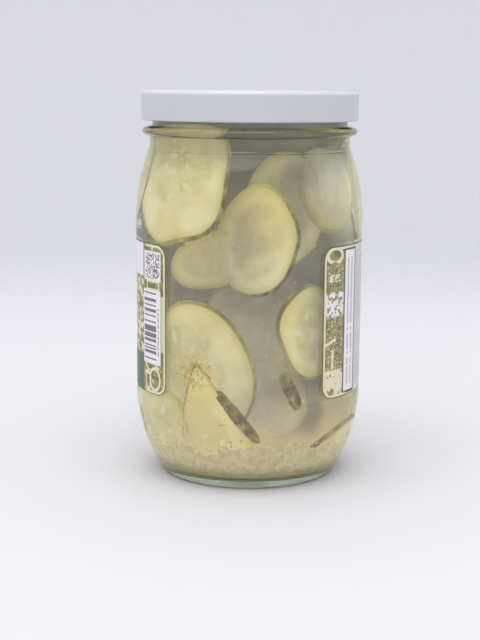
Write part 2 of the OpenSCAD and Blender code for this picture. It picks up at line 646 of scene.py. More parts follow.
@dataclass(frozen=True)
class Haze:
    """The colours that cloudy brine takes with depth, with painted shade and painted light in them, and
    the painted glow that stands in for the light that reaches through it.
    """

    middle: Colour = tone(147, 142, 123)
    # painted shade: upper and neck darken the haze upwards, towards the lid, where less light reaches
    upper: Colour = tone(127, 122, 102)
    neck: Colour = tone(107, 103, 80)
    low: Colour = tone(204, 190, 158)
    cloud: Colour = tone(176, 171, 156)
    to_upper: Fade = Fade(0.062, 0.086)
    to_neck: Fade = Fade(0.112, 0.132)
    near_bed: Fade = Fade(0.014, 0.052)
    fewer_clouds: Fade = Fade(0.104, 0.136, 0.75)
    cloud_share: float = 0.45
    streak_share: float = 0.24
    # painted light: how strongly the haze's colour glows
    glow: float = 0.45
    # painted shadows (the darker spots) and painted light (the paler spots, near the right edge)
    pockets: tuple[Pocket, ...] = (
        Pocket(-36, 88, 18, tone(110, 106, 88)),
        Pocket(-33, 101, 10, tone(106, 95, 56), 0.9),
        Pocket(-12, 114, 14, tone(112, 101, 60)),
        Pocket(-22, 106, 8, tone(100, 93, 62)),
        Pocket(41, 67, 14, tone(120, 114, 96), 0.7),
        Pocket(36, 91, 11, tone(100, 94, 74)),
        Pocket(42, 141, 18, tone(150, 152, 134), 0.85),
        Pocket(56, 122, 19, tone(206, 202, 188), 0.85),
        Pocket(84, 120, 27, tone(222, 224, 212), 0.9),
        Pocket(43, 48, 17, tone(112, 107, 90), 0.9),
        Pocket(24, 42, 9, tone(112, 104, 78), 0.7),
        Pocket(46, 28, 14, tone(118, 110, 88), 0.9),
    )

    def colour(self, bench: Bench) -> Wire:
        """Grey-beige, with paler clouds, painted shade that darkens it towards the neck, pale over the
        bed, and the painted shadows and painted light of its spots.

        Args:
            bench: the bench of the material that takes the colour.

        Returns:
            The colour.
        """
        height = bench.height()
        # painted shade, growing towards the lid
        base = bench.blend(self.to_upper.over(height), self.middle, self.upper)
        base = bench.blend(self.to_neck.over(height), base, self.neck)
        clouds = bench.noise(34.0, 3.0, 0.55).step(0.46, 0.78) * self.cloud_share
        streaks = bench.noise(120.0, 4.0, 0.65).step(0.46, 0.72) * self.streak_share
        clouds = (clouds + streaks) * (1 - self.fewer_clouds.over(height))
        base = bench.blend(clouds, base, self.cloud)
        stirred = self.near_bed.under(height) * bench.noise(60.0, 2.0).step(0.10, 0.6)
        base = bench.blend(stirred, base, self.low)
        # painted shadows and painted light
        for pocket in self.pockets:
            base = pocket.laid(bench, base)
        return base


@dataclass(frozen=True)
class CloudyDeep:
    """What shows where the brine is too deep to see through."""

    haze: Haze = Haze()

    def material(self) -> bpy.types.Material:
        """The cloudy depth, in the colour of the haze, with its painted glow.

        Returns:
            The material.
        """
        bench = Bench("cloudy_deep")
        dull = {"Roughness": 0.9, "Specular IOR Level": 0.0}
        # painted light: the depth glows in the haze's colour
        return bench.done(bench.glowing(self.haze.colour(bench), self.haze.glow, dull))


@dataclass(frozen=True)
class PickleFlesh:
    """Brined cucumber: pale flesh, a wetter middle with seeds, and an olive skin, with painted shade near
    the neck and near the floor, and a painted glow.
    """

    flesh: Colour = tone(245, 233, 180)
    shade: Colour = tone(222, 207, 132)
    rind: Colour = tone(204, 192, 108)
    middle: Colour = tone(206, 197, 130)
    golden: Colour = tone(238, 212, 128)
    seed: Colour = tone(250, 242, 206)
    skin: Colour = tone(150, 132, 62)
    skin_dark: Colour = tone(96, 82, 34)
    # painted shade: the flesh darkens towards this colour under the lid at the neck and low on the floor
    # of the jar
    dim: Colour = tone(128, 118, 76)
    neck_dim: Fade = Fade(0.127, 0.143, 0.5)
    base_dim: Fade = Fade(0.0055, 0.012, 0.4)
    skin_veil: float = 0.9
    # painted light: the flesh glows in its own colour, standing in for light that passes through it from
    # behind
    glow: float = 0.49
    haze: Haze = Haze()

    def material(self) -> bpy.types.Material:
        """The flesh, from the marks on each slice.

        They are middle, seed, ray, edge, ripe, skin, cloud and veil.

        Returns:
            The material.
        """
        bench = Bench("pickle_flesh")
        cells = bench.noise(420.0, 4.0, 0.6)
        blotch = bench.noise(120.0, 3.0, 0.6)
        broad = bench.noise(55.0, 2.0, 0.5)
        shaded = (broad.step(0.40, 0.66) * 0.55 + bench.mark("ray") * 0.35).least(1.0)
        colour = bench.blend(shaded, self.flesh, self.shade)
        colour = bench.blend(bench.mark("middle") * blotch.step(0.25, 0.7) * 0.8, colour, self.middle)
        colour = bench.blend(bench.mark("seed") * blotch.step(0.3, 0.6) * 0.65, colour, self.seed)
        colour = bench.blend(cells.step(0.52, 0.68) * 0.30, colour, self.seed)
        colour = bench.blend(bench.mark("ripe") * (blotch * 0.6 + 0.6), colour, self.golden)
        colour = bench.blend(bench.mark("edge") * 0.75, colour, self.rind)
        olive = bench.blend(bench.noise(160.0, 3.0).step(0.36, 0.62), self.skin, self.skin_dark)
        worn = bench.noise(240.0, 3.0, 0.6).step(0.30, 0.52)
        colour = bench.blend(bench.mark("skin") * (worn * 0.35 + 0.65), colour, olive)
        # painted shade near the neck and near the floor
        height = bench.height()
        dim = self.neck_dim.over(height).most(self.base_dim.under(height))
        colour = bench.blend(dim, colour, self.dim)
        cloud = bench.noise(42.0, 2.0, 0.5).step(0.44, 0.76) * 0.34
        veil = (bench.mark("veil") + cloud * bench.mark("cloud")).least(1.0)
        veil = veil ** (bench.mark("skin") * self.skin_veil + 1.0)
        colour = bench.blend(veil, colour, self.haze.colour(bench))
        relief = bench.bump(cells + blotch * 1.5, 0.0008, 0.7)
        wet = {"Roughness": 0.55, "Specular IOR Level": 0.12, "Normal": relief}
        return bench.done(bench.glowing(colour, self.glow, wet))


@dataclass(frozen=True)
class Crumbs:
    """Soft bits of flesh, herb and spice that have settled in the brine."""

    name: str
    pale: Colour = tone(227, 212, 168)
    deep: Colour = tone(206, 190, 140)
    spot: Colour = tone(200, 180, 136)
    dim: Colour = tone(112, 106, 76)
    # painted shade: the crumbs darken at the foot of the jar
    base_dim: Fade = Fade(0.0055, 0.012, 0.45)
    # painted light: the crumbs glow in their own colour
    glow: float = 0.45

    def material(self) -> bpy.types.Material:
        """Patchy pale crumbs with a deeper bit here and there, painted shade low down and a painted glow.

        Returns:
            The material.
        """
        bench = Bench(self.name)
        patch = bench.noise(380.0, 4.0, 0.65)
        grit = bench.noise(1500.0, 3.0, 0.6)
        colour = bench.blend(patch.step(0.35, 0.65), self.deep, self.pale)
        colour = bench.blend(bench.noise(620.0, 2.0).step(0.60, 0.74) * 0.45, colour, self.spot)
        # painted shade at the foot of the jar
        colour = bench.blend(self.base_dim.under(bench.height()), colour, self.dim)
        relief = bench.bump(patch + grit * 0.6, 0.0012, 0.8)
        soft = {"Roughness": 0.7, "Specular IOR Level": 0.1, "Normal": relief}
        return bench.done(bench.glowing(colour, self.glow, soft))


@dataclass(frozen=True)
class WhiteEnamel:
    """Baked white enamel on the lid's steel, with a trace of the sheet's grain and of handling."""

    white: Colour = (0.59, 0.62, 0.64, 1.0)
    worn: Colour = (0.56, 0.59, 0.605, 1.0)
    # painted highlight: rim is the paler colour painted on the rounded top edge
    rim: Colour = (0.80, 0.82, 0.84, 1.0)
    rim_heights: tuple[float, float] = (0.1601, 0.1616)
    rim_radii: tuple[float, float] = (0.0436, 0.0444)

    def material(self) -> bpy.types.Material:
        """The enamel, which is paler on the rounded rim, where it catches the light.

        Returns:
            The material.
        """
        bench = Bench("white_enamel")
        cloud = bench.noise(60.0, 3.0)
        peel = bench.noise(900.0, 2.0)
        colour = bench.blend(cloud.step(0.35, 0.75) * 0.4, self.white, self.worn)
        sideways = {0: bench.place(), 1: (1, 1, 0)}
        flat = bench.add("ShaderNodeVectorMath", {"operation": "MULTIPLY"}, sideways)
        radius = bench.add("ShaderNodeVectorMath", {"operation": "LENGTH"}, {0: flat}, "Value")
        # painted highlight on the rounded rim
        edge = bench.height().between(*self.rim_heights, 0.0006) * radius.step(*self.rim_radii)
        colour = bench.blend(edge * 0.9, colour, self.rim)
        surface = bench.surface(
            {
                "Base Color": colour,
                "Roughness": bench.noise(240.0, 4.0) * 0.12 + 0.27,
                "Coat Weight": 0.25,
                "Coat Roughness": 0.12,
                "Normal": bench.bump(peel, 0.0001, 0.25),
            }
        )
        return bench.done(surface)


@dataclass(frozen=True)
class SealingCompound:
    """The soft ring that seals the lid on the rim."""

    pale: Colour = tone(214, 214, 208)
    dull: Colour = tone(190, 190, 184)

    def material(self) -> bpy.types.Material:
        """The compound, a little cloudy.

        Returns:
            The material.
        """
        bench = Bench("sealing_compound")
        cloud = bench.noise(300.0, 3.0)
        surface = bench.surface(
            {
                "Base Color": bench.blend(cloud.step(0.3, 0.7), self.pale, self.dull),
                "Roughness": 0.55,
                "Normal": bench.bump(cloud, 0.0003, 0.3),
            }
        )
        return bench.done(surface)


@dataclass(frozen=True)
class LabelInks:
    """Colours of the label's print."""

    cream: Colour = tone(233, 224, 196)
    white: Colour = tone(240, 236, 238)
    olive: Colour = tone(150, 149, 88)
    moss: Colour = tone(112, 114, 64)
    green: Colour = tone(66, 96, 68)
    pale_green: Colour = tone(204, 212, 168)
    ink: Colour = tone(74, 66, 76)
    rust: Colour = tone(146, 116, 90)
    grey: Colour = tone(212, 214, 208)


class PrintBench(Bench):
    """A bench for a printed sheet: places on it, plain shapes, and a paint that inks are laid on.

    Places are millimetres along the sheet from its left end, or back from its right end, and
    heights over the table.
    """

    def __init__(self, name: str, length: float, paint: Colour) -> None:
        """Starts a sheet with one even paint.

        Args:
            name: the material's name.
            length: the sheet's length in millimetres.
            paint: the paint's colour.
        """
        super().__init__(name)
        wrap = self.add("ShaderNodeUVMap", {"uv_map": "wrap"})
        self.along = self.add("ShaderNodeSeparateXYZ", None, {0: wrap}, 0) * WrapLabel.UV_SPAN
        self.up = self.add("ShaderNodeSeparateXYZ", None, {0: wrap}, 1) * WrapLabel.UV_SPAN
        self.back = length - self.along
        self.flat = self.add("ShaderNodeCombineXYZ", None, {0: self.along, 1: self.up})
        self.paint: Any = paint

    def lay(self, share: Wire, ink: Any) -> None:
        """Lays a share of an ink over the paint."""
        self.paint = self.blend(share, self.paint, ink)

    def patch(
        self, at: Wire, start: float, end: float, low: float, high: float, soft: float = 0.12
    ) -> Wire:
        """1 inside a rectangle."""
        return at.between(start, end, soft) * self.up.between(low, high, soft)

    def _far(self, at: Wire, middle: float, up: float, wide: float, tall: float) -> Wire:
        """How far out in an oval a place is: 0 in its middle and 1 on its line."""
        return (((at - middle) / wide) ** 2 + ((self.up - up) / tall) ** 2) ** 0.5

    def ring(self, middle: float, up: float, wide: float, tall: float, line: float) -> Wire:
        """1 on the line of an oval."""
        return self._far(self.along, middle, up, wide, tall).between(1 - line, 1.0, 0.03)

    def disc(self, at: Wire, middle: float, up: float, wide: float, tall: float) -> Wire:
        """1 inside an oval."""
        return 1 - self._far(at, middle, up, wide, tall).step(0.94, 1.06)

    def shapes(self, scale: float, low: float, high: float) -> Wire:
        """Soft random shapes over the sheet."""
        return self.noise(scale, 2.0, 0.5, self.flat).step(low, high)

    def cells(self, size: float, long: float) -> Wire:
        """A random value for each cell of the sheet.

        Args:
            size: how tall a cell is.
            long: how long it is along the sheet.

        Returns:
            The values, from 0 to 1.
        """
        cell = {0: (self.along / long).floor(), 1: (self.up / size).floor()}
        where = self.add("ShaderNodeCombineXYZ", None, cell)
        return self.add("ShaderNodeTexWhiteNoise", {"noise_dimensions": "3D"}, {0: where})


@dataclass(frozen=True)
class PrintedLabel:
    """A plain generic print: fields of colour, rings, stripes and speckles, with no lettering."""

    length: float
    low: float
    high: float
    corner: float
    inks: LabelInks = LabelInks()

    def material(self) -> bpy.types.Material:
        """The print under a satin varnish, laid in order from the ground up.

        Returns:
            The material.
        """
        sheet = PrintBench("printed_label", self.length, self.inks.cream)
        self._main_panel(sheet)
        olive = sheet.blend(sheet.shapes(0.25, 0.45, 0.6), self.inks.olive, self.inks.moss)
        self._left_end(sheet, olive)
        self._right_end(sheet, olive)
        self._list_panel(sheet)
        self._edge_lines(sheet)
        relief = sheet.bump(sheet.noise(700.0, 3.0), 0.00008, 0.3)
        rough = sheet.noise(150.0, 2.0) * 0.1 + 0.36
        satin = {"Base Color": sheet.paint, "Roughness": rough, "Normal": relief}
        return sheet.done(sheet.surface(satin))

    def _main_panel(self, sheet: PrintBench) -> None:
        """The panel that faces away: a green field between two plain lines, and a big oval.

        Args:
            sheet: the sheet it is laid on.
        """
        along, inks, end = sheet.along, self.inks, self.length - 46
        upper = sheet.patch(along, 30, end, 96, 97.2)
        lines = upper.most(sheet.patch(along, 40, end, 40.5, 41.7))
        dots = sheet.disc(along, 58, 69, 7, 7).most(sheet.disc(along, 172, 69, 7, 7))
        sheet.lay(sheet.patch(along, 36, end, 46, 92).most(lines) * (1 - dots), inks.green)
        sheet.lay(sheet.ring(115, 69, 30, 22, 0.06), inks.cream)
        sheet.lay(sheet.disc(along, 115, 69, 24, 17), inks.cream)
        sheet.lay(sheet.disc(along, 115, 69, 20, 13.5), inks.pale_green)
        sheet.lay(sheet.ring(115, 69, 11, 8, 0.12), inks.olive)

    def _left_end(self, sheet: PrintBench, olive: Wire) -> None:
        """The end at the front left: loops, bars, a speckled square and frames on olive.

        Args:
            sheet: the sheet it is laid on.
            olive: the mottled olive of both ends.
        """
        along, inks, patch = sheet.along, self.inks, sheet.patch
        sheet.lay(along.between(-1, 17.3), olive)
        sheet.lay(patch(along, 17.3, 29.5, 53.5, 86), olive)
        sheet.lay(patch(along, 17.3, 40, 86, 101), inks.white)
        sheet.lay(patch(along, 17.3, 40, 36, 53.5), inks.green)
        sheet.lay(sheet.shapes(0.33, 0.50, 0.56) * patch(along, 17.3, 29.5, 53.5, 88), inks.cream)
        loops = sheet.ring(7.5, 44, 4.2, 5.2, 0.26).most(sheet.ring(13, 43, 2.6, 4.4, 0.34))
        loops = loops.most(sheet.ring(10.5, 49.5, 5.0, 2.2, 0.3))
        loops = loops.most(sheet.shapes(0.4, 0.58, 0.63) * 0.9)
        sheet.lay(loops * patch(along, 1.6, 17.3, 37, 50.2), inks.cream)
        sheet.lay(patch(along, 3.2, 17.0, 50.2, 81.2), inks.white)
        bars = sheet.cells(0.62, 500.0).step(0.44, 0.50) * patch(along, 6.2, 16.2, 52.0, 80.0)
        sheet.lay(bars * 0.85, inks.ink)
        dots = sheet.cells(0.9, 0.9).step(0.45, 0.55) * patch(along, 4.3, 5.2, 54.0, 74.0)
        sheet.lay(dots * 0.6, inks.ink)
        sheet.lay(patch(along, 3.0, 16.2, 84.9, 97.0), inks.white)
        speckle = sheet.cells(0.62, 0.62).step(0.48, 0.52)
        sheet.lay(speckle * patch(along, 3.8, 14.8, 85.7, 96.0) * 0.85, inks.ink)
        frame_line = patch(along, 3.9, 13.8, 80.9, 85.0) - patch(along, 4.7, 13.0, 81.7, 84.2)
        sheet.lay(frame_line.most(0.0), inks.cream)
        sheet.lay(patch(along, 8.6, 9.5, 96.8, 101), inks.cream)
        sheet.lay(patch(along, 1.3, 3.0, 56, 79), inks.pale_green)

    def _right_end(self, sheet: PrintBench, olive: Wire) -> None:
        """The end at the front right: a halo, splashes, posts and slants on olive.

        Args:
            sheet: the sheet it is laid on.
            olive: the mottled olive of both ends.
        """
        back, inks, patch, shapes = sheet.back, self.inks, sheet.patch, sheet.shapes
        sheet.lay(back.between(-1, 12.9), olive)
        halo = sheet.disc(back, 6.6, 96.3, 5.4, 3.6) - sheet.disc(back, 6.6, 96.5, 3.6, 2.2)
        sheet.lay(halo.most(0.0), inks.cream)
        sheet.lay(sheet.disc(back, 6.2, 91.0, 3.0, 3.0) * shapes(0.5, 0.40, 0.52), inks.rust)
        sheet.lay(patch(back, 3.0, 10.5, 85.8, 88.8) * shapes(0.5, 0.42, 0.5), inks.cream)
        posts = (sheet.along * 0.42).math("FRACT").between(0.3, 0.75, 0.06)
        sheet.lay(posts * patch(back, 1.6, 12.4, 81.6, 85.4), inks.moss)
        sheet.lay(shapes(0.45, 0.42, 0.50) * patch(back, 1.2, 12.4, 71.5, 81.6, 0.6), inks.white)
        sheet.lay(patch(back, 7.6, 9.4, 62.0, 71.5) * 0.8, inks.rust)
        slant = (sheet.up - 59.0 - back * 0.35).between(0.0, 1.3)
        sheet.lay(slant * back.between(1.0, 7.5), inks.cream)
        sheet.lay(patch(back, 5.0, 6.3, 50.0, 58.0), inks.cream)
        sheet.lay(patch(back, 8.4, 12.4, 49.0, 59.0) * shapes(0.4, 0.4, 0.5), inks.rust)
        sheet.lay(shapes(0.26, 0.40, 0.46) * patch(back, 1.4, 12.6, 38.6, 49.5, 0.5), inks.cream)
        fine = sheet.noise(1.1, 2.0, 0.6, sheet.flat).step(0.54, 0.60)
        sheet.lay(fine * patch(back, 2.0, 12.0, 44, 93, 0.4) * 0.75, inks.cream)

    def _list_panel(self, sheet: PrintBench) -> None:
        """The grey panel beside the right end, with an outlined white box and broken rules.

        Args:
            sheet: the sheet it is laid on.
        """
        back, inks, patch = sheet.back, self.inks, sheet.patch
        sheet.lay(patch(back, 12.9, 45, 36, 102), inks.grey)
        sheet.lay(patch(back, 12.9, 22.4, 38.8, 98.4), inks.white)
        inside = sheet.up.between(42, 95)
        rules = back.between(15.6, 16.7).most(back.between(18.6, 19.9)) * inside * 0.42
        small = (back * 0.55).math("FRACT").between(0.35, 0.62, 0.1)
        small = small * patch(back, 24, 43, 42, 95) * 0.4
        sheet.lay((rules + small) * sheet.cells(0.9, 500).step(0.12, 0.22), inks.ink)
        outline = patch(back, 12.7, 22.9, 38.4, 98.8) - patch(back, 13.5, 22.1, 39.4, 98.0)
        sheet.lay(outline.most(0.0), inks.ink)

    def _edge_lines(self, sheet: PrintBench) -> None:
        """The cream line that runs round both ends inside the edge, and the moss edge itself.

        The distance in from the edge is the corner's radius less the length of (how far a place is
        past the corners' middles along the label, how far it is past them in height).

        Args:
            sheet: the sheet they are laid on.
        """
        near = sheet.along.least(sheet.back)
        middle = (self.low + self.high) / 2
        reach = (self.high - self.low) / 2 - self.corner
        aside = (self.corner - near).most(0.0)
        above = (abs(sheet.up - middle) - reach).most(0.0)
        inset = self.corner - (aside**2 + above**2) ** 0.5
        sheet.lay(inset.between(0.35, 1.35, 0.15) * near.step(17.0, 13.0), self.inks.cream)
        sheet.lay(inset.between(-1, 0.3, 0.1), self.inks.moss)


# ---------------------------------------------------------------- the jar


@dataclass
class GlassJar:
    """The jar: a push-up base, a round heel, straight sides, a swelling shoulder and a lug finish."""

    body_d: float = 96.0
    height: float = 160.6
    wall: float = 2.4
    heel_h: float = 36.0
    shoulder_h: float = 32.0
    neck_fillet: float = 8.0
    base_d: float = 70.0
    bearing_w: float = 2.4
    corner_r: float = 3.5
    push_up: float = 2.5
    floor_t: float = 4.2
    inner_corner_r: float = 9.0
    finish_d: float = 82.0
    finish_wall: float = 2.7
    finish_h: float = 15.7
    rim_r: float = 0.9
    neck_step: float = 1.0
    neck_h: float = 4.9
    bead_out: float = 4.2
    bead_h: float = 4.4
    panel_low: float = 36.6
    panel_high: float = 101.0
    panel_sunk: float = 0.35
    step_out: float = 0.2
    step_in: float = 0.5
    step_ease: float = 0.4
    bars: int = 6
    bar_out: float = 2.3
    bar_low: float = 150.8
    bar_h: float = 2.2
    bar_angle: float = 34.0
    bar_ease: float = 3.0
    seam_z: float = 137.3
    seam_out: float = 0.22
    seam_w: float = 0.28
    columns: int = 240

    def __post_init__(self) -> None:
        """Works out the radii and heights that the outlines share."""
        self.body_r = self.body_d / 2
        self.base_r = self.base_d / 2
        self.finish_r = self.finish_d / 2
        self.mouth_r = self.finish_r - self.finish_wall
        self.neck_r = self.finish_r + self.neck_step
        self.bead_z = self.height - self.finish_h
        self.neck_z = self.bead_z - self.neck_h
        self.shoulder_z = self.neck_z - self.shoulder_h
        u = self.body_r - self.base_r
        v = self.heel_h - self.corner_r
        self.heel_r = (u * u + v * v - self.corner_r**2) / (2 * (u - self.corner_r))
        self.heel_x = self.body_r - self.heel_r
        self._inside = self.hollow(0.0)

    def shoulder(self, r_low: float, r_high: float) -> Grid:
        """An ogee: a swelling arc, and a hollow one, touching each other.

        Args:
            r_low: radius at its foot.
            r_high: radius at its top, which is less.

        Returns:
            The points (radius, height).
        """
        drop = r_low - r_high
        both = (drop**2 + self.shoulder_h**2) / (2 * drop)
        turn = math.degrees(math.asin(self.shoulder_h / both))
        f = self.neck_fillet
        top = self.shoulder_z + self.shoulder_h
        return np.vstack(
            [
                arc(r_low - both + f, self.shoulder_z, both - f, 0, turn),
                arc(r_high + f, top, f, 180 + turn, 180),
            ]
        )

    def outside(self) -> Grid:
        """The outline of the outside, from the middle of the base up to the rim's inner edge.

        Returns:
            The points (radius, height).
        """
        ring_r = self.base_r - self.bearing_w
        dome = (ring_r**2 + self.push_up**2) / (2 * self.push_up)
        dome_turn = math.degrees(math.asin(ring_r / dome))
        heel_turn = math.degrees(
            math.atan((self.heel_h - self.corner_r) / (self.base_r - self.heel_x))
        )
        r = self.body_r
        sunk = r - self.panel_sunk
        base = np.vstack(
            [
                arc(0, self.push_up - dome, dome, 90, 90 - dome_turn),
                arc(self.base_r, self.corner_r, self.corner_r, -90, -heel_turn),
                arc(self.heel_x, self.heel_h, self.heel_r, -heel_turn, 0),
            ]
        )
        panel = softened(
            [
                (r, self.heel_h, 0),
                (r, self.panel_low - self.step_out, self.step_ease),
                (sunk, self.panel_low + self.step_in, self.step_ease),
                (sunk, self.panel_high - self.step_in, self.step_ease),
                (r, self.panel_high + self.step_out, self.step_ease),
                (r, self.shoulder_z, 0),
            ]
        )
        t = np.radians(np.linspace(-75, 88, 60))
        bead = np.stack(
            [
                self.finish_r + self.bead_out * np.cos(t),
                self.bead_z + self.bead_h / 2 * np.sin(t),
            ],
            axis=1,
        )
        below = softened(
            [(self.neck_r, self.neck_z, 0), (self.neck_r, bead[0, 1] - 0.1, 0.35), (*bead[0], 0)]
        )
        above = softened(
            [
                (*bead[-1], 0),
                (self.finish_r, self.bead_z + self.bead_h / 2 + 0.1, 0.1),
                (self.finish_r, self.height - self.rim_r, 0),
            ]
        )
        rim = np.vstack(
            [
                arc(self.finish_r - self.rim_r, self.height - self.rim_r, self.rim_r, 0, 90),
                arc(self.mouth_r + self.rim_r, self.height - self.rim_r, self.rim_r, 90, 180),
            ]
        )
        return np.vstack([base, panel, self.shoulder(r, self.neck_r), below, bead, above, rim])

    def hollow(self, grown: float) -> Grid:
        """The outline of the hollow, from the middle of the floor to the neck's top.

        Args:
            grown: how far the hollow is grown outwards, into the wall.

        Returns:
            The points (radius, height).
        """
        r_heel = self.heel_r - self.wall + grown
        r_corner = self.inner_corner_r + grown
        z_corner = self.floor_t + self.inner_corner_r
        x_corner = self.heel_x + math.sqrt((r_heel - r_corner) ** 2 - (self.heel_h - z_corner) ** 2)
        turn = math.degrees(math.atan((self.heel_h - z_corner) / (x_corner - self.heel_x)))
        dome = (x_corner**2 + self.push_up**2) / (2 * self.push_up)
        dome_turn = math.degrees(math.asin(x_corner / dome))
        floor_z = self.floor_t - grown + self.push_up - dome
        top = [[self.mouth_r + grown, self.height - self.rim_r]]
        return np.vstack(
            [
                arc(0, floor_z, dome, 90, 90 - dome_turn),
                arc(x_corner, z_corner, r_corner, -90, -turn),
                arc(self.heel_x, self.heel_h, r_heel, -turn, 0),
                self.shoulder(self.body_r - self.wall + grown, self.mouth_r + grown),
                top,
            ]
        )

    def inner_radius(self, z: Grid) -> Grid:
        """The radius of the hollow.

        Args:
            z: heights.

        Returns:
            The radius at each height.
        """
        lowest = np.argmin(self._inside[:, 1])
        wall = self._inside[lowest:]
        return np.interp(z, wall[:, 1], wall[:, 0])

    def wall_slope(self, z: Grid) -> Grid:
        """How much the radius of the hollow grows for each unit of height."""
        return (self.inner_radius(z + 0.2) - self.inner_radius(z - 0.2)) / 0.4

    def _raised(self, rows: Grid) -> Grid:
        """How far the mould's seam ring and the thread bars stand out of the outside.

        The seam is a bell curve of the height. A bar is a ramp up and a ramp down over its height,
        times a smooth window over its angle.

        Args:
            rows: the rows (radius, height) of the outside.

        Returns:
            The distances (row, column).
        """
        z = rows[:, 1:]
        seam = self.seam_out * np.exp(-(((z - self.seam_z) / self.seam_w) ** 2))
        off = from_nearest(self.columns, self.bars)
        span = 1 - smooth(off, self.bar_angle / 2 - self.bar_ease, self.bar_angle / 2)
        rise = smooth(z, self.bar_low - 0.05, self.bar_low + 0.35)
        fall = 1 - smooth(z, self.bar_low + self.bar_h / 2, self.bar_low + self.bar_h)
        return seam + self.bar_out * rise * fall * span

    def build(self, material: bpy.types.Material) -> bpy.types.Object:
        """Makes the glass, which replaces the frame's jar.

        Args:
            material: the glass's finish.

        Returns:
            The piece.
        """
        bands = [
            (self.seam_z - 0.8, self.seam_z + 0.8, 0.2),
            (self.bar_low - 0.2, self.bar_low + self.bar_h + 0.2, 0.25),
        ]
        outer = spread(self.outside(), 2.6, 7, bands)
        inner = spread(self.hollow(0.0)[::-1], 3.2, 7)
        push = np.vstack([self._raised(outer), np.zeros((len(inner) - 1, self.columns))])
        push[:3] = 0
        rows = np.vstack([outer, inner[1:]])
        piece = place(shells("glass_jar", round_axis(rows, self.columns, push)), material)
        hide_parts("jar")
        return piece


@dataclass
class TwistLid:
    """The steel lid: a sunk panel, a raised ring, a plain skirt, a rolled hem and its lugs."""

    radius: float = 45.4
    top: float = 162.0
    low: float = 149.3
    sheet: float = 0.45
    edge_r: float = 2.0
    hem_r: float = 0.85
    panel_sink: float = 0.8
    slope_out: float = 36.3
    slope_w: float = 1.0
    lugs: int = 6
    lug_angle: float = 9.0
    lug_reach: float = 1.5
    columns: int = 240

    def outline(self) -> Grid:
        """The sheet's outline, from under its middle, round the hem, to the top of its middle.

        Returns:
            The points (radius, height).
        """
        t = self.sheet
        x = self.radius - self.edge_r
        z = self.top - self.edge_r
        slope_in = self.slope_out - self.slope_w
        sunk = self.top - self.panel_sink
        inner = softened(
            [
                (0, sunk - t, 0),
                (slope_in, sunk - t, 0.3),
                (self.slope_out, self.top - t, 0.3),
                (x, self.top - t, 0),
            ]
        )
        hem_x = self.radius - self.hem_r
        hem_z = self.low + self.hem_r
        enter = math.degrees(math.acos((self.hem_r - t) / self.hem_r))
        outer = softened(
            [
                (x, self.top, 0),
                (self.slope_out, self.top, 0.3),
                (slope_in, sunk, 0.3),
                (0, sunk, 0),
            ]
        )
        return np.vstack(
            [
                inner,
                arc(x, z, self.edge_r - t, 90, 0),
                arc(hem_x, hem_z, self.hem_r, enter, 360),
                arc(x, z, self.edge_r, 0, 90),
                outer,
            ]
        )

    def build(self, material: bpy.types.Material) -> bpy.types.Object:
        """Makes the lid, which replaces the frame's lid.

        A lug draws the inner side of the hem in: by its reach, times a smooth window over its
        angle, times how far inward the hem's surface faces there.

        Args:
            material: the lid's finish.

        Returns:
            The piece.
        """
        rows = spread(self.outline(), 2.2, 8, [(self.low - 0.1, self.low + 2 * self.hem_r, 0.3)])
        off = from_nearest(self.columns, self.lugs)
        span = 1 - smooth(off, self.lug_angle / 2 - 2, self.lug_angle / 2 + 0.5)
        inward = (self.radius - self.hem_r - rows[:, :1]) / self.hem_r
        in_hem = rows[:, 1:] < self.low + 2 * self.hem_r
        push = -self.lug_reach * span * np.clip(inward, 0, 1) * in_hem
        piece = place(shells("twist_lid", round_axis(rows, self.columns, push)), material)
        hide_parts("lid")
        return piece


@dataclass
class WrapLabel:
    """The label round the panel, with round corners and a bare window at the front."""

    radius: float = 47.85
    thick: float = 0.2
    low: float = 37.6
    high: float = 100.0
    corner: float = 5.5
    window_left: float = 44.5
    window_right: float = 39.0
    columns: int = 300
    corner_columns: int = 16
    rows: int = 64

    UV_SPAN = 250.0

    def length(self) -> float:
        """The label's length round the jar."""
        return math.radians(360 - self.window_left - self.window_right) * self.radius

    def build(self) -> bpy.types.Object:
        """Makes the label, which replaces the frame's label.

        A column at distance s from the nearer end, where s is under the corner's radius c, starts
        and ends c - sqrt(c^2 - (c - s)^2) in from the label's two long edges.

        Returns:
            The piece.
        """
        ends = np.sin(np.linspace(0, np.pi / 2, self.corner_columns)) ** 2 * self.corner
        between = self.columns - 2 * (self.corner_columns - 1)
        middle = np.linspace(self.corner, self.length() - self.corner, between)
        s = np.concatenate([ends[:-1], middle, self.length() - ends[-2::-1]])
        near = np.clip(self.corner - np.minimum(s, self.length() - s), 0, self.corner)
        inset = self.corner - np.sqrt(self.corner**2 - near**2)
        t = np.linspace(0, 1, self.rows)[:, None]
        z = (self.low + inset) * (1 - t) + (self.high - inset) * t
        azimuth = np.radians(-self.window_left) - s / self.radius
        azimuth = np.broadcast_to(azimuth, z.shape)
        along = np.broadcast_to(s, z.shape)
        corners = np.stack(
            [self.radius * np.sin(azimuth), -self.radius * np.cos(azimuth), z], axis=-1
        )
        number = np.arange(z.size).reshape(z.shape)
        quads = np.stack(
            [number[:-1, :-1], number[1:, :-1], number[1:, 1:], number[:-1, 1:]], axis=-1
        ).reshape(-1, 4)
        mesh = bare_mesh("wrap_label", corners.reshape(-1, 3), quads, np.zeros((0, 3), int))
        wrap = mesh.uv_layers.new(name="wrap")
        uv = np.stack([along, z], axis=-1).reshape(-1, 2) / self.UV_SPAN
        order = np.zeros(len(mesh.loops), np.int32)
        mesh.loops.foreach_get("vertex_index", order)
        wrap.data.foreach_set("uv", uv[order].astype(np.float32).ravel())
        material = PrintedLabel(self.length(), self.low, self.high, self.corner).material()
        piece = place(mesh, material)
        wall = piece.modifiers.new("thickness", "SOLIDIFY")
        wall.thickness = self.thick * MM
        wall.offset = -1.0
        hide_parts("label")
        return piece


# ---------------------------------------------------------------- what is in the jar


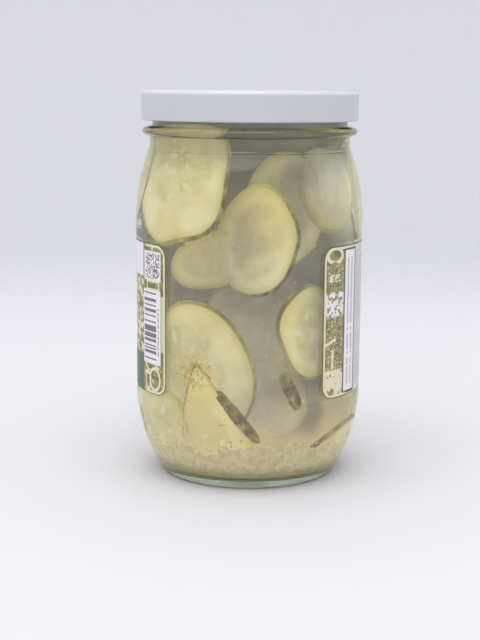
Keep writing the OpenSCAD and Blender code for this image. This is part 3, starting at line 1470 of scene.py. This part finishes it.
@dataclass
class Brine:
    """The brine, up to its level, and the cloudy depth that can't be seen through."""

    jar: GlassJar
    level: float = 150.6
    into_wall: float = 0.12
    clear_depth: float = 12.5
    over_floor: float = 3.5
    under_level: float = 1.6
    neck_wider: float = 6.0
    neck_from: float = 132.0
    neck_full: float = 147.0
    columns: int = 160
    deep_columns: int = 128

    def build(self) -> list[bpy.types.Object]:
        """Makes the brine, which replaces the frame's contents, and its deep part.

        Returns:
            The two pieces.
        """
        line = self.jar.hollow(self.into_wall)
        line = line[line[:, 1] < self.level]
        edge = self.jar.mouth_r + self.into_wall
        outline = np.vstack([line, [[edge, self.level]], [[0, self.level]]])
        rows = spread(outline, 3.0, 6)
        brine = place(
            shells("brine", round_axis(rows, self.columns)), PickleBrine().material()
        )
        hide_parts("contents")
        return [brine, self._deep()]

    def _deep(self) -> bpy.types.Object:
        """The depth: the hollow drawn in by the clear depth, with a gently lumpy side.

        Returns:
            The piece.
        """
        low = self.jar.floor_t + self.over_floor
        top = self.level - self.under_level
        z = np.linspace(low, top, 60)
        radius = self.jar.inner_radius(np.clip(z, 9, None)) - self.clear_depth
        radius = radius + self.neck_wider * smooth(z, self.neck_from, self.neck_full)
        side = np.stack([radius, z], axis=1)
        ends = softened([(0, low, 0), (side[0, 0] - 2, low, 2), (*side[0], 0)])
        upper = softened([(*side[-1], 0), (side[-1, 0] - 1, top + 0.6, 0.5), (0, top + 0.6, 0)])
        rows = spread(np.vstack([ends, side[1:-1], upper]), 2.4, 8)
        points = round_axis(rows, self.deep_columns)
        swell = ripples(points, 26.0, 5) * 1.3 + ripples(points, 9.0, 6) * 0.4
        off_axis = smooth(np.hypot(points[..., 0], points[..., 1]), 0, 12)
        mesh = shells("cloudy_brine", moved_out(points, swell * off_axis))
        return place(mesh, CloudyDeep().material())


@dataclass(frozen=True)
class SliceCut:
    """One slice, how it lies and how it looks.

    Its middle is at an azimuth and a height, and a depth behind the glass. Roll turns it in its
    plane, swing brings its right side out, lean brings its top out, and bend is how far it
    follows the wall. Its heart is where its seeds point away from. Taper narrows its top, square
    fills its corners out and wobble makes its outline uneven. Ripe is its share of gold, peel its
    share of skin, and rim the direction in which the skin is darkest, in degrees from its right.
    """

    azimuth: float
    height: float
    depth: float
    half_w: float
    half_h: float
    roll: float = 0.0
    swing: float = 0.0
    lean: float = 0.0
    bend: float = 1.0
    thick: float = 3.6
    heart: tuple[float, float] = (0.0, 0.0)
    seeds: int = 9
    seed: int = 0
    all_skin: float = 0.0
    ripe: float = 0.15
    # painted shade: rim also picks the side on which the skin line is painted darkest
    rim: float = -50.0
    peel: float = 1.0
    square: float = 0.0
    wobble: float = 0.045
    taper: float = 0.0


@dataclass
class PickleSlices:
    """Thick slices of brined cucumber, pressed against the glass or hanging behind each other.

    They stay clear of the glass, and are tucked further in where they stand in the bed.
    """

    jar: GlassJar
    name: str
    cuts: Sequence[SliceCut]
    face_rows: int = 40
    columns: int = 120
    corner: float = 1.5
    clear: float = 0.25
    wall_ease: float = 0.9
    tucked: float = 1.1
    bed_edge: tuple[float, float] = (12.0, 19.0)
    over_floor: float = 3.2
    ceiling: float = 149.6
    ceiling_ease: float = 4.0
    pattern_r: float = 14.0
    veil_from: float = 0.8
    veil_depth: float = 7.0
    veil_full: float = 13.0

    def _rounding(self, thick: float) -> float:
        """The radius of a slice's edge, which leaves a little of a thin slice's side straight."""
        return min(self.corner, thick * 0.45)

    def _profile(self, thick: float) -> tuple[Grid, Grid, Grid]:
        """Rows from the middle of the back face, over the edge, to the middle of the front face.

        Args:
            thick: the slice's thickness.

        Returns:
            The share of the way to the edge's corner, the way past it, and the height in the
            slice's thickness, for each row.
        """
        half = thick / 2
        c = self._rounding(thick)
        out = 1 - (1 - np.linspace(0, 1, self.face_rows)) ** 1.25
        coarser = 3 if self.face_rows > 20 else 2
        back = out[::coarser]
        round_rows = 4
        t = np.radians(np.linspace(0, 90, round_rows + 1)[1:])
        share = np.concatenate([back, np.ones(2 * round_rows + 1), out[::-1]])
        past = np.concatenate(
            [np.zeros(len(back)), c * np.sin(t), [c + 0.25], c * np.sin(t[::-1]), np.zeros(len(out))]
        )
        rise = np.concatenate(
            [
                np.full(len(back), -half),
                -half + c * (1 - np.cos(t)),
                [0.0],
                half - c * (1 - np.cos(t[::-1])),
                np.full(len(out), half),
            ]
        )
        return share, past, rise

    def _seed_field(self, cut: SliceCut, u: Grid, v: Grid, draw: np.random.Generator) -> Grid:
        """1 in the middle of each seed, falling to 0 at its edge.

        The seeds point away from the heart, at uneven distances round it; each is an ellipse.

        Args:
            cut: the slice.
            u: each point's place to the right of the slice's middle.
            v: each point's place above it.
            draw: where its random numbers come from.

        Returns:
            The field, for each point.
        """
        count = cut.seeds
        if count == 0:
            return np.zeros_like(u)
        turn = np.arange(count) * 2 * np.pi / count + draw.uniform(-0.35, 0.35, count)
        ring = draw.uniform(0.16, 0.52, count)
        place_u = cut.heart[0] + np.cos(turn) * ring * cut.half_w
        place_v = cut.heart[1] + np.sin(turn) * ring * cut.half_h
        tilt = turn + draw.uniform(-0.9, 0.9, count)
        du = u[..., None] - place_u
        dv = v[..., None] - place_v
        long = du * np.cos(tilt) + dv * np.sin(tilt)
        wide = -du * np.sin(tilt) + dv * np.cos(tilt)
        far = (long / draw.uniform(2.4, 3.3, count)) ** 2 + (wide / draw.uniform(1.0, 1.4, count)) ** 2
        return (1 - smooth(far, 0.35, 1.15)).max(axis=-1)

    def _outline(self, cut: SliceCut, theta: Grid, draw: np.random.Generator) -> Grid:
        """How far a slice reaches from its middle in each direction.

        It is 1 / (|cos / half_w|^p + |sin / half_h|^p)^(1/p), an ellipse where p is 2 and fuller
        where p is more, times 1 + a few low harmonics.

        Args:
            cut: the slice.
            theta: the directions, in radians.
            draw: where its random numbers come from.

        Returns:
            The reach in each direction.
        """
        wobble = sum(
            draw.uniform(-1, 1) * 2 * cut.wobble / k * np.cos(k * theta + draw.uniform(0, 6.28))
            for k in (2, 3, 4, 5)
        )
        power = 2 + 2 * cut.all_skin + cut.square
        across = np.abs(np.cos(theta) / cut.half_w) ** power
        upward = np.abs(np.sin(theta) / cut.half_h) ** power
        return (across + upward) ** (-1 / power) * (1 + wobble)

    def _skin(self, cut: SliceCut, theta: Grid, inset: Grid, rise: Grid) -> Grid:
        """The share of skin: the slice's side and a thin line round its faces.

        It is patchy round the slice, and darkest in the direction of the slice's rim, where the line is
        painted shade as well as skin.

        Args:
            cut: the slice.
            theta: the direction of each column, in radians.
            inset: how far in from the outline each point is.
            rise: each row's height in the slice's thickness.

        Returns:
            The share, for each point.
        """
        on_side = (np.abs(rise) < cut.thick / 2 - 0.02)[:, None]
        skin = np.maximum((1 - smooth(inset, 0.2, 1.3)), on_side).astype(float)
        ring = self.pattern_r * np.stack([np.cos(theta), np.sin(theta), 0 * theta], axis=-1)
        patchy = smooth(ripples(ring, 15, cut.seed + 4), -0.7, 0.2)
        # painted shade: the skin line is strongest on the slice's rim side, where its side shows in shade
        facing = smooth(np.cos(theta + math.radians(cut.roll - cut.rim)), -0.7, 0.6)
        skin = skin * (0.12 + 0.88 * facing) * (0.55 + 0.45 * patchy) * cut.peel
        return np.maximum(skin, cut.all_skin)

    def _veil(self, points: Grid) -> Grid:
        """The share of haze over each point.

        It is 1 - e^(-d / veil_depth) for the depth d past veil_from behind the glass, scaled so
        that it is 1 at veil_full.

        Args:
            points: points (..., xyz).

        Returns:
            The share, for each point.
        """
        radius = np.hypot(points[..., 0], points[..., 1])
        slope = self.jar.wall_slope(points[..., 2])
        deep = (self.jar.inner_radius(points[..., 2]) - radius) / np.sqrt(1 + slope**2)
        full = 1 - math.exp(-self.veil_full / self.veil_depth)
        hidden = 1 - np.exp(-np.maximum(deep - self.veil_from, 0) / self.veil_depth)
        return np.clip(hidden / full, 0, 1)

    def slice_points(self, cut: SliceCut) -> tuple[Grid, dict[str, Grid]]:
        """One slice.

        Its faces sink a little over the wet middle and rise over the seeds. It is bent round the
        wall, swung and leant about its middle, and then held inside the glass and under the
        brine's level.

        Args:
            cut: the slice.

        Returns:
            Its points (row, column, xyz) and its marks (row, column).
        """
        draw = np.random.default_rng(cut.seed)
        theta = np.linspace(0, 2 * np.pi, self.columns, endpoint=False)
        edge = self._outline(cut, theta, draw)
        share, past, rise = self._profile(cut.thick)
        reach = share[:, None] * (edge[None] - self._rounding(cut.thick)) + past[:, None]
        v = reach * np.sin(theta)
        u = reach * np.cos(theta) * (1 - cut.taper * v / cut.half_h)
        flat = np.stack([u, v, np.zeros_like(u)], axis=-1)
        far = np.hypot((u - cut.heart[0]) / cut.half_w, (v - cut.heart[1]) / cut.half_h)
        inner = 1 - smooth(far + ripples(flat, 8, cut.seed + 3) * 0.05, 0.55, 0.74)
        seeds = self._seed_field(cut, u, v, draw)
        on_face = (past == 0)[:, None] * smooth(1 - share, 0.0, 0.12)[:, None]
        relief = seeds * 0.25 - inner * 0.4 + ripples(flat, 9, cut.seed + 1) * 0.28
        w = rise[:, None] + np.sign(rise)[:, None] * relief * on_face
        points = self._held(self._laid(cut, u, v, w))
        inset = edge[None] - reach
        way = self.pattern_r * np.stack([np.cos(theta) + 0 * u, np.sin(theta) + 0 * u], axis=-1)
        rays = np.concatenate([way, reach[..., None] / 6], axis=-1)
        flesh = 1 - cut.all_skin
        marks = {
            "middle": inner * on_face * flesh,
            "seed": seeds * on_face * flesh,
            "ray": smooth(ripples(rays, 9, cut.seed + 2), -0.2, 0.8) * (1 - inner * 0.6),
            "cloud": np.full_like(u, flesh),
            "edge": (1 - smooth(inset, 0.5, 5.0)) * flesh,
            "ripe": cut.ripe * smooth(v, -cut.half_h * 0.8, cut.half_h * 0.8),
            "skin": self._skin(cut, theta, inset, rise),
            "veil": self._veil(points),
        }
        return points, marks

    def _laid(self, cut: SliceCut, u: Grid, v: Grid, w: Grid) -> Grid:
        """Lays a flat slice in the jar: rolled, bent round the wall, leant, swung and moved out.

        Args:
            cut: the slice.
            u: each point's place to the right of the slice's middle.
            v: each point's place above it.
            w: each point's place towards the glass.

        Returns:
            The points (..., xyz).
        """
        roll = math.radians(cut.roll)
        across = u * math.cos(roll) - v * math.sin(roll)
        up = u * math.sin(roll) + v * math.cos(roll)
        z = cut.height
        wall = float(self.jar.inner_radius(np.array(z)))
        slope = float(self.jar.wall_slope(np.array(z)))
        bow = cut.bend / wall
        w = w - cut.thick / 2
        side = np.sin(across * bow) * (1 / bow + w)
        out = (1 / bow + w) * np.cos(across * bow) - 1 / bow
        out, up = turned(out, up, math.radians(cut.lean))
        out, side = turned(out, side, math.radians(cut.swing))
        size = math.hypot(1, slope)
        radial = wall + (out + up * slope) / size - cut.depth
        high = z + (up - out * slope) / size
        a = math.radians(cut.azimuth)
        x = radial * math.sin(a) + side * math.cos(a)
        y = -radial * math.cos(a) + side * math.sin(a)
        return np.stack([x, y, high], axis=-1)

    def _held(self, points: Grid) -> Grid:
        """Keeps points inside the glass and under the brine's level.

        Close to a limit L the overshoot x is eased to 1 - e^-x, so that nothing has a sharp fold.

        Args:
            points: points (..., xyz).

        Returns:
            The points, moved where they had to be.
        """
        z = np.clip(points[..., 2], self.jar.floor_t + self.over_floor, None)
        free = self.ceiling - self.ceiling_ease
        over = np.clip(z - free, 0, None)
        eased = free + self.ceiling_ease * (1 - np.exp(-over / self.ceiling_ease))
        z = np.where(z > free, eased, z)
        radius = np.hypot(points[..., 0], points[..., 1])
        in_bed = 1 - smooth(z, *self.bed_edge)
        limit = self.jar.inner_radius(z) - self.clear - self.tucked * in_bed
        soft = limit - self.wall_ease
        past = np.clip(radius - soft, 0, None)
        eased = soft + self.wall_ease * (1 - np.exp(-past / self.wall_ease))
        held = np.where(radius > soft, eased, radius)
        shrink = (held / np.maximum(radius, 1e-6))[..., None]
        return np.concatenate([points[..., :2] * shrink, z[..., None]], axis=-1)

    def build(self, material: bpy.types.Material) -> bpy.types.Object:
        """Makes all the slices as one piece.

        Args:
            material: their finish.

        Returns:
            The piece.
        """
        made = [self.slice_points(cut) for cut in self.cuts]
        points = np.stack([grid for grid, _ in made])
        marks = {title: np.stack([m[title] for _, m in made]) for title in made[0][1]}
        return place(shells(self.name, points, marks), material)


def front_cuts() -> list[SliceCut]:
    """The slices that show in the window at the front, the clearest first.

    Each starts with its azimuth, height, depth, half width and half height.

    Returns:
        The slices.
    """
    return [
        SliceCut(
            -43.8, 125.8, 0.3, 23.8, 26.4, roll=9, taper=-0.08, square=0.6, heart=(2, 6), seeds=15,
            seed=11, ripe=0.1, rim=-50
        ),
        SliceCut(
            4.2, 103.0, 2.4, 16.2, 22.8, roll=-10, swing=13, seeds=0, seed=32, wobble=0.05, ripe=0.65,
            rim=-30
        ),
        SliceCut(
            -18.5, 95.4, 4.4, 20.5, 11.0, roll=16, swing=-4, seeds=0, seed=24, wobble=0.04, ripe=0.5,
            rim=-100, peel=0.35
        ),
        SliceCut(
            21.0, 114.5, 6.6, 16.0, 23.8, lean=-2, seed=13, seeds=3, wobble=0.07, rim=0, ripe=0.0,
            peel=0.8
        ),
        SliceCut(
            53, 122.0, 6.0, 16.5, 17.0, swing=-4, seeds=4, seed=14, ripe=0.0, rim=200, peel=0.5
        ),
        SliceCut(90, 118.0, 2.6, 13.0, 25.0, seeds=0, seed=23, ripe=0.0, peel=0.1),
        SliceCut(
            -26, 50.5, 2.2, 22.0, 29.0, roll=20, lean=6, seeds=4, seed=15, heart=(-3, 2), ripe=0.0,
            rim=10
        ),
        SliceCut(
            36, 66.0, 2.9, 17.0, 19.5, roll=12, swing=-15, seed=16, seeds=4, wobble=0.07, ripe=0.0,
            rim=185
        ),
        SliceCut(
            -19.5, 24.5, 1.7, 14.0, 30.0, roll=12, seed=17, seeds=3, heart=(-2, -6), taper=0.6,
            ripe=0.8, rim=190
        ),
        SliceCut(-59, 25.0, 1.8, 20.5, 18.5, roll=-10, seeds=5, seed=18, rim=-80),
        SliceCut(62, 12.5, 0.8, 21.0, 13.0, roll=20, seed=19, seeds=5, rim=110),
        SliceCut(2, 66.0, 9.8, 17.0, 21.0, roll=30, seed=20, thick=3.4, peel=0.5),
        SliceCut(8, 38.0, 8.5, 20.0, 16.0, roll=-20, seed=21, thick=3.4, peel=0.5),
    ]


def round_cuts() -> list[SliceCut]:
    """The slices round the sides and the back, in three rings, seeded.

    Returns:
        The slices.
    """
    draw = np.random.default_rng(41)
    cuts = []
    for height, start, end, count in ((123, 122, 262, 4), (68, 95, 275, 5), (24, 116, 258, 4)):
        lower = 0.82 if height < 40 else 1.0
        for azimuth in np.linspace(start, end, count):
            cuts.append(
                SliceCut(
                    float(azimuth + draw.uniform(-5, 5)),
                    float(height + draw.uniform(-4, 4)),
                    float(draw.uniform(0.4, 3.0)),
                    float(draw.uniform(20, 25)),
                    float(draw.uniform(19, 23) * lower),
                    roll=float(draw.uniform(-40, 40)),
                    swing=float(draw.uniform(-9, 9)),
                    lean=float(draw.uniform(-5, 5)),
                    seed=int(draw.integers(1000)),
                )
            )
    return cuts


def skin_cuts() -> list[SliceCut]:
    """Strips of skin that have come off the slices.

    Each is given as azimuth, height, depth, half width, half length, roll, thickness and seed.

    Returns:
        The strips.
    """
    strips = (
        (-5.2, 32.4, 0.0, 2.2, 14.0, 40, 1.2, 50),
        (22.5, 42.5, 1.2, 2.5, 8.2, 24, 1.2, 51),
        (-28.0, 47.5, 0.0, 1.0, 4.6, -38, 0.9, 55),
        (-23.5, 49.5, 0.0, 0.9, 4.0, 58, 0.9, 56),
        (150, 33.0, 1.0, 1.6, 8.0, -48, 1.2, 53),
        (-120, 106.0, 1.2, 1.5, 7.0, 20, 1.2, 54),
    )
    return [
        SliceCut(*lie, roll=roll, thick=thick, all_skin=1.0, seeds=0, seed=seed)
        for *lie, roll, thick, seed in strips
    ]


@dataclass
class Settled:
    """The bed of soft crumbs on the floor of the jar, and the loose bits in the brine.

    An angle here is measured from +X towards +Y.
    """

    jar: GlassJar
    bed_h: float = 17.5
    bed_columns: int = 200
    bed_middle: float = 4.5
    bed_reach: float = 32.0
    bits: int = 900
    specks: int = 700
    speck_low: float = 14.0
    speck_reach: float = 130.0
    shreds: int = 420
    shreds_caught: float = 0.93
    shred_angle: float = -118.5
    shred_z: float = 47.5
    shred_spread: float = 3.2

    def bed_top(self, angle: Grid) -> Grid:
        """The height of the bed at the glass: a level plus uneven waves round the jar."""
        spots = np.stack([np.cos(angle), np.sin(angle), 0 * angle], axis=-1) * 40
        return self.bed_h + ripples(spots, 22, 71) * 2.2 + ripples(spots, 6, 72) * 0.9

    def build(self) -> list[bpy.types.Object]:
        """Makes the bed, the crumbs on it, the specks and the shreds.

        Returns:
            The pieces.
        """
        bits = Crumbs("loose_crumbs", tone(218, 205, 166), tone(200, 187, 145), tone(194, 176, 136))
        specks = Crumbs("fine_specks", tone(210, 202, 176), tone(190, 181, 152), tone(188, 166, 130))
        golden = Crumbs("golden_shreds", tone(222, 204, 136), tone(192, 172, 98), tone(164, 144, 78))
        return [
            place(self._bed(), Crumbs("settled_bed").material()),
            place(self._bits(), bits.material()),
            place(self._specks(), specks.material()),
            place(self._golden(), golden.material()),
        ]

    def _bed(self) -> bpy.types.Mesh:
        """The bed: the hollow drawn in a little, cut off by a lumpy top that sinks to the middle.

        Row t runs along the hollow from its middle to the bed's top at the glass, and then back
        over the top to the middle.

        Returns:
            The mesh.
        """
        angle = np.linspace(0, 2 * np.pi, self.bed_columns, endpoint=False)
        top = self.bed_top(angle)
        line = self.jar.hollow(-0.3)
        line = line[: np.argmax(line[:, 1] > self.bed_reach)]
        lowest = np.argmin(line[:, 1])
        under, wall = line[: lowest + 1], line[lowest:]
        t = np.linspace(0, 1, 14)[:, None]
        first = under[0, 1]
        floor_r = t * under[-1, 0]
        floor_z = np.interp(floor_r, under[:, 0], under[:, 1])
        wall_z = under[-1, 1] + (top[None] - under[-1, 1]) * np.linspace(0, 1, 16)[1:, None]
        wall_r = np.interp(wall_z, wall[:, 1], wall[:, 0])
        back = np.linspace(1, 0, 22)[1:, None]
        over_r = back * wall_r[-1][None]
        rim_share = back**0.35
        over_z = top[None] * rim_share + (first + self.bed_middle) * (1 - rim_share)
        radius = np.vstack([np.repeat(floor_r, self.bed_columns, 1), wall_r, over_r])
        high = np.vstack([np.repeat(floor_z, self.bed_columns, 1), wall_z, over_z])
        points = np.stack([radius * np.cos(angle), radius * np.sin(angle), high], axis=-1)[None]
        lumps = ripples(points, 5.0, 73) * 0.5 + ripples(points, 2.4, 74) * 0.25
        off_axis = smooth(np.hypot(points[..., 0], points[..., 1]), 4, 20)
        inward = np.minimum((lumps * 0.4 - 0.2) * off_axis, 0)
        return shells("settled_bed", moved_out(points, inward))

    def _grains(self, spots: Grid, sizes: Grid, seed: int, long: float = 1.0) -> Grid:
        """Small lumpy eggs, each stretched and turned its own way.

        Args:
            spots: the middle of each grain (grain, xyz).
            sizes: the radius of each.
            seed: where their random numbers start.
            long: how much longer than wide they are.

        Returns:
            The points (grain, row, column, xyz).
        """
        draw = np.random.default_rng(seed)
        count, rows, columns = len(spots), 5, 6
        up = np.radians(np.linspace(-90, 90, rows))[:, None]
        turn = np.linspace(0, 2 * np.pi, columns, endpoint=False)[None]
        ball = np.stack([np.cos(up) * np.cos(turn), np.cos(up) * np.sin(turn), np.sin(up) + 0 * turn], -1)
        axes = np.linalg.qr(draw.normal(size=(count, 3, 3)))[0]
        axes[:, :, 0] *= np.sign(np.linalg.det(axes))[:, None]
        stretch = draw.uniform(0.55, 1.3, size=(count, 1, 1, 3)) * sizes[:, None, None, None]
        stretch[..., 0] *= long
        dent = 1 + draw.uniform(-0.2, 0.2, size=(count, rows, columns, 1))
        dent[:, 0] = dent[:, -1] = 1
        return np.einsum("nrcj,nkj->nrck", ball[None] * stretch * dent, axes) + spots[:, None, None]

    def _by_the_glass(self, angle: Grid, z: Grid, depth: Grid) -> Grid:
        """Points at a depth behind the inside of the glass."""
        radius = self.jar.inner_radius(z) - depth
        return np.stack([radius * np.cos(angle), radius * np.sin(angle), z], axis=-1)

    def _bits(self) -> bpy.types.Mesh:
        """Crumbs on and just over the bed.

        Returns:
            The mesh.
        """
        draw = np.random.default_rng(81)
        angle = draw.uniform(0, 2 * np.pi, self.bits)
        z = self.bed_top(angle) + draw.normal(0, 1.4, self.bits) - 0.8
        z = np.clip(z + draw.exponential(1.6, self.bits), 8, self.bed_reach)
        size = draw.uniform(0.25, 0.75, self.bits)
        depth = 0.4 + size + draw.exponential(0.8, self.bits)
        spots = self._by_the_glass(angle, z, np.minimum(depth, 4))
        return shells("loose_crumbs", self._grains(spots, size, 82))

    def _golden(self) -> bpy.types.Mesh:
        """Golden shreds caught at the tip of the front wedge, and a few elsewhere.

        Returns:
            The mesh.
        """
        draw = np.random.default_rng(86)
        count = self.shreds
        caught = np.arange(count) < count * self.shreds_caught
        near = draw.normal(self.shred_angle, self.shred_spread, count)
        angle = np.where(caught, near, draw.uniform(-180, 180, count))
        near = draw.normal(self.shred_z, self.shred_spread, count)
        z = np.where(caught, near, draw.uniform(self.speck_low, 60, count))
        size = draw.uniform(0.22, 0.6, count)
        spots = self._by_the_glass(np.radians(angle), z, 0.9 + draw.exponential(0.6, count))
        return shells("golden_shreds", self._grains(spots, size, 87, 4.0))

    def _specks(self) -> bpy.types.Mesh:
        """Fine specks that float near the glass, most of them low in the jar.

        Returns:
            The mesh.
        """
        draw = np.random.default_rng(91)
        angle = draw.uniform(0, 2 * np.pi, self.specks)
        z = self.speck_low + self.speck_reach * draw.beta(1.0, 2.2, self.specks)
        size = draw.uniform(0.12, 0.32, self.specks)
        spots = self._by_the_glass(angle, z, 0.5 + draw.exponential(1.2, self.specks))
        return shells("fine_specks", self._grains(spots, size, 92))


# ---------------------------------------------------------------- the studio


@dataclass
class Studio:
    """A pale floor that curves up into walls, soft light from above and the camera.

    The lamp's place, aim and size are in metres, and the other lengths in millimetres.
    """

    lens: float = 74.56
    distance: float = 561.8
    eye: float = 163.5
    pitch: float = 10.03
    yaw: float = -0.37
    roll: float = 0.37
    floor_r: float = 900.0
    curve_r: float = 700.0
    wall_top: float = 1500.0
    floor_z: float = -0.05
    columns: int = 96
    paper: Colour = (0.87, 0.865, 0.885, 1.0)
    paper_far: Colour = (0.785, 0.785, 0.82, 1.0)
    sky_colour: Colour = (0.98, 0.98, 1.0, 1.0)
    sky: float = 0.93
    lamp_at: tuple[float, float, float] = (-0.15, -0.45, 1.25)
    lamp_aim: tuple[float, float, float] = (0.0, 0.0, 0.08)
    lamp_size: float = 1.4
    lamp_power: float = 5.8

    def camera(self) -> None:
        """Puts the camera in front, looking a little down."""
        p, a, r = (math.radians(v) for v in (self.pitch, self.yaw, self.roll))
        ahead = Vector((math.sin(a) * math.cos(p), math.cos(a) * math.cos(p), -math.sin(p)))
        right = Vector((math.cos(a), -math.sin(a), 0.0))
        up = right.cross(ahead)
        across = right * math.cos(r) + up * math.sin(r)
        over = up * math.cos(r) - right * math.sin(r)
        turn = Matrix((across, over, -ahead)).transposed().to_4x4()
        data = bpy.data.cameras.new("camera")
        data.lens = self.lens
        data.sensor_width = 36.0
        data.clip_start = 0.02
        camera = bpy.data.objects.new("camera", data)
        camera.matrix_world = Matrix.Translation((0, -self.distance * MM, self.eye * MM)) @ turn
        bpy.context.scene.collection.objects.link(camera)
        bpy.context.scene.camera = camera

    def backdrop(self) -> None:
        """The floor and walls: a flat disc, a quarter round and an upright wall, turned round Z, with
        painted shade that darkens the paper farther back.
        """
        bend = arc(self.floor_r, self.floor_z + self.curve_r, self.curve_r, -90, 0)
        top = [[self.floor_r + self.curve_r, self.wall_top]]
        rows = spread(np.vstack([[[0, self.floor_z]], bend, top]), 60, 4)
        points = round_axis(rows, self.columns)[0]
        ring = np.arange(len(rows) * self.columns).reshape(len(rows), self.columns)
        beside = np.roll(ring, -1, axis=1)
        quads = np.stack([ring[1:], beside[1:], beside[:-1], ring[:-1]], -1).reshape(-1, 4)
        mesh = bare_mesh("backdrop", points.reshape(-1, 3), quads, np.zeros((0, 3), int))
        bench = Bench("pale_paper")
        depth = bench.add("ShaderNodeSeparateXYZ", None, {0: bench.place()}, 1)
        # painted shade: the paper darkens from 0.2 m to 0.75 m behind the jar
        colour = bench.blend(depth.step(0.20, 0.75), self.paper, self.paper_far)
        mesh.materials.append(bench.done(bench.surface({"Base Color": colour, "Roughness": 0.8})))
        paper = bpy.data.objects.new("backdrop", mesh)
        bpy.context.scene.collection.objects.link(paper)

    def lights(self) -> None:
        """An even sky and one wide soft lamp overhead."""
        world = bpy.data.worlds.new("sky")
        world.use_nodes = True
        ground = world.node_tree.nodes["Background"]
        ground.inputs["Color"].default_value = self.sky_colour
        ground.inputs["Strength"].default_value = self.sky
        bpy.context.scene.world = world
        data = bpy.data.lights.new("overhead", "AREA")
        data.shape = "DISK"
        data.size = self.lamp_size
        data.energy = self.lamp_power
        lamp = bpy.data.objects.new("overhead", data)
        lamp.location = self.lamp_at
        direction = Vector(self.lamp_aim) - lamp.location
        lamp.rotation_euler = direction.to_track_quat("-Z", "Y").to_euler()
        bpy.context.scene.collection.objects.link(lamp)

    def build(self) -> None:
        """Sets the scene up."""
        self.camera()
        self.backdrop()
        self.lights()
        bpy.context.scene.view_settings.view_transform = "Standard"


def main() -> None:
    """Builds the jar and what is in it, and sets the studio up round it."""
    logging.basicConfig(level=logging.INFO, format="%(name)s: %(message)s")
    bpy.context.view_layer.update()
    Studio().build()
    jar = GlassJar()
    jar.build(ClearGlass().material())
    TwistLid().build(WhiteEnamel().material())
    WrapLabel().build()
    Brine(jar).build()
    flesh = PickleFlesh().material()
    PickleSlices(jar, "front_slices", front_cuts()).build(flesh)
    PickleSlices(jar, "round_slices", round_cuts(), face_rows=18, columns=84).build(flesh)
    PickleSlices(jar, "skin_strips", skin_cuts(), face_rows=8, columns=40, corner=0.5).build(flesh)
    Settled(jar).build()
    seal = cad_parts["seal"]
    seal.data.materials.clear()
    seal.data.materials.append(SealingCompound().material())
    log.info("seal: the frame's own mesh, slot %s, finish sealing_compound", Slot.SEAL.value)


if __name__ == "__main__":
    main()
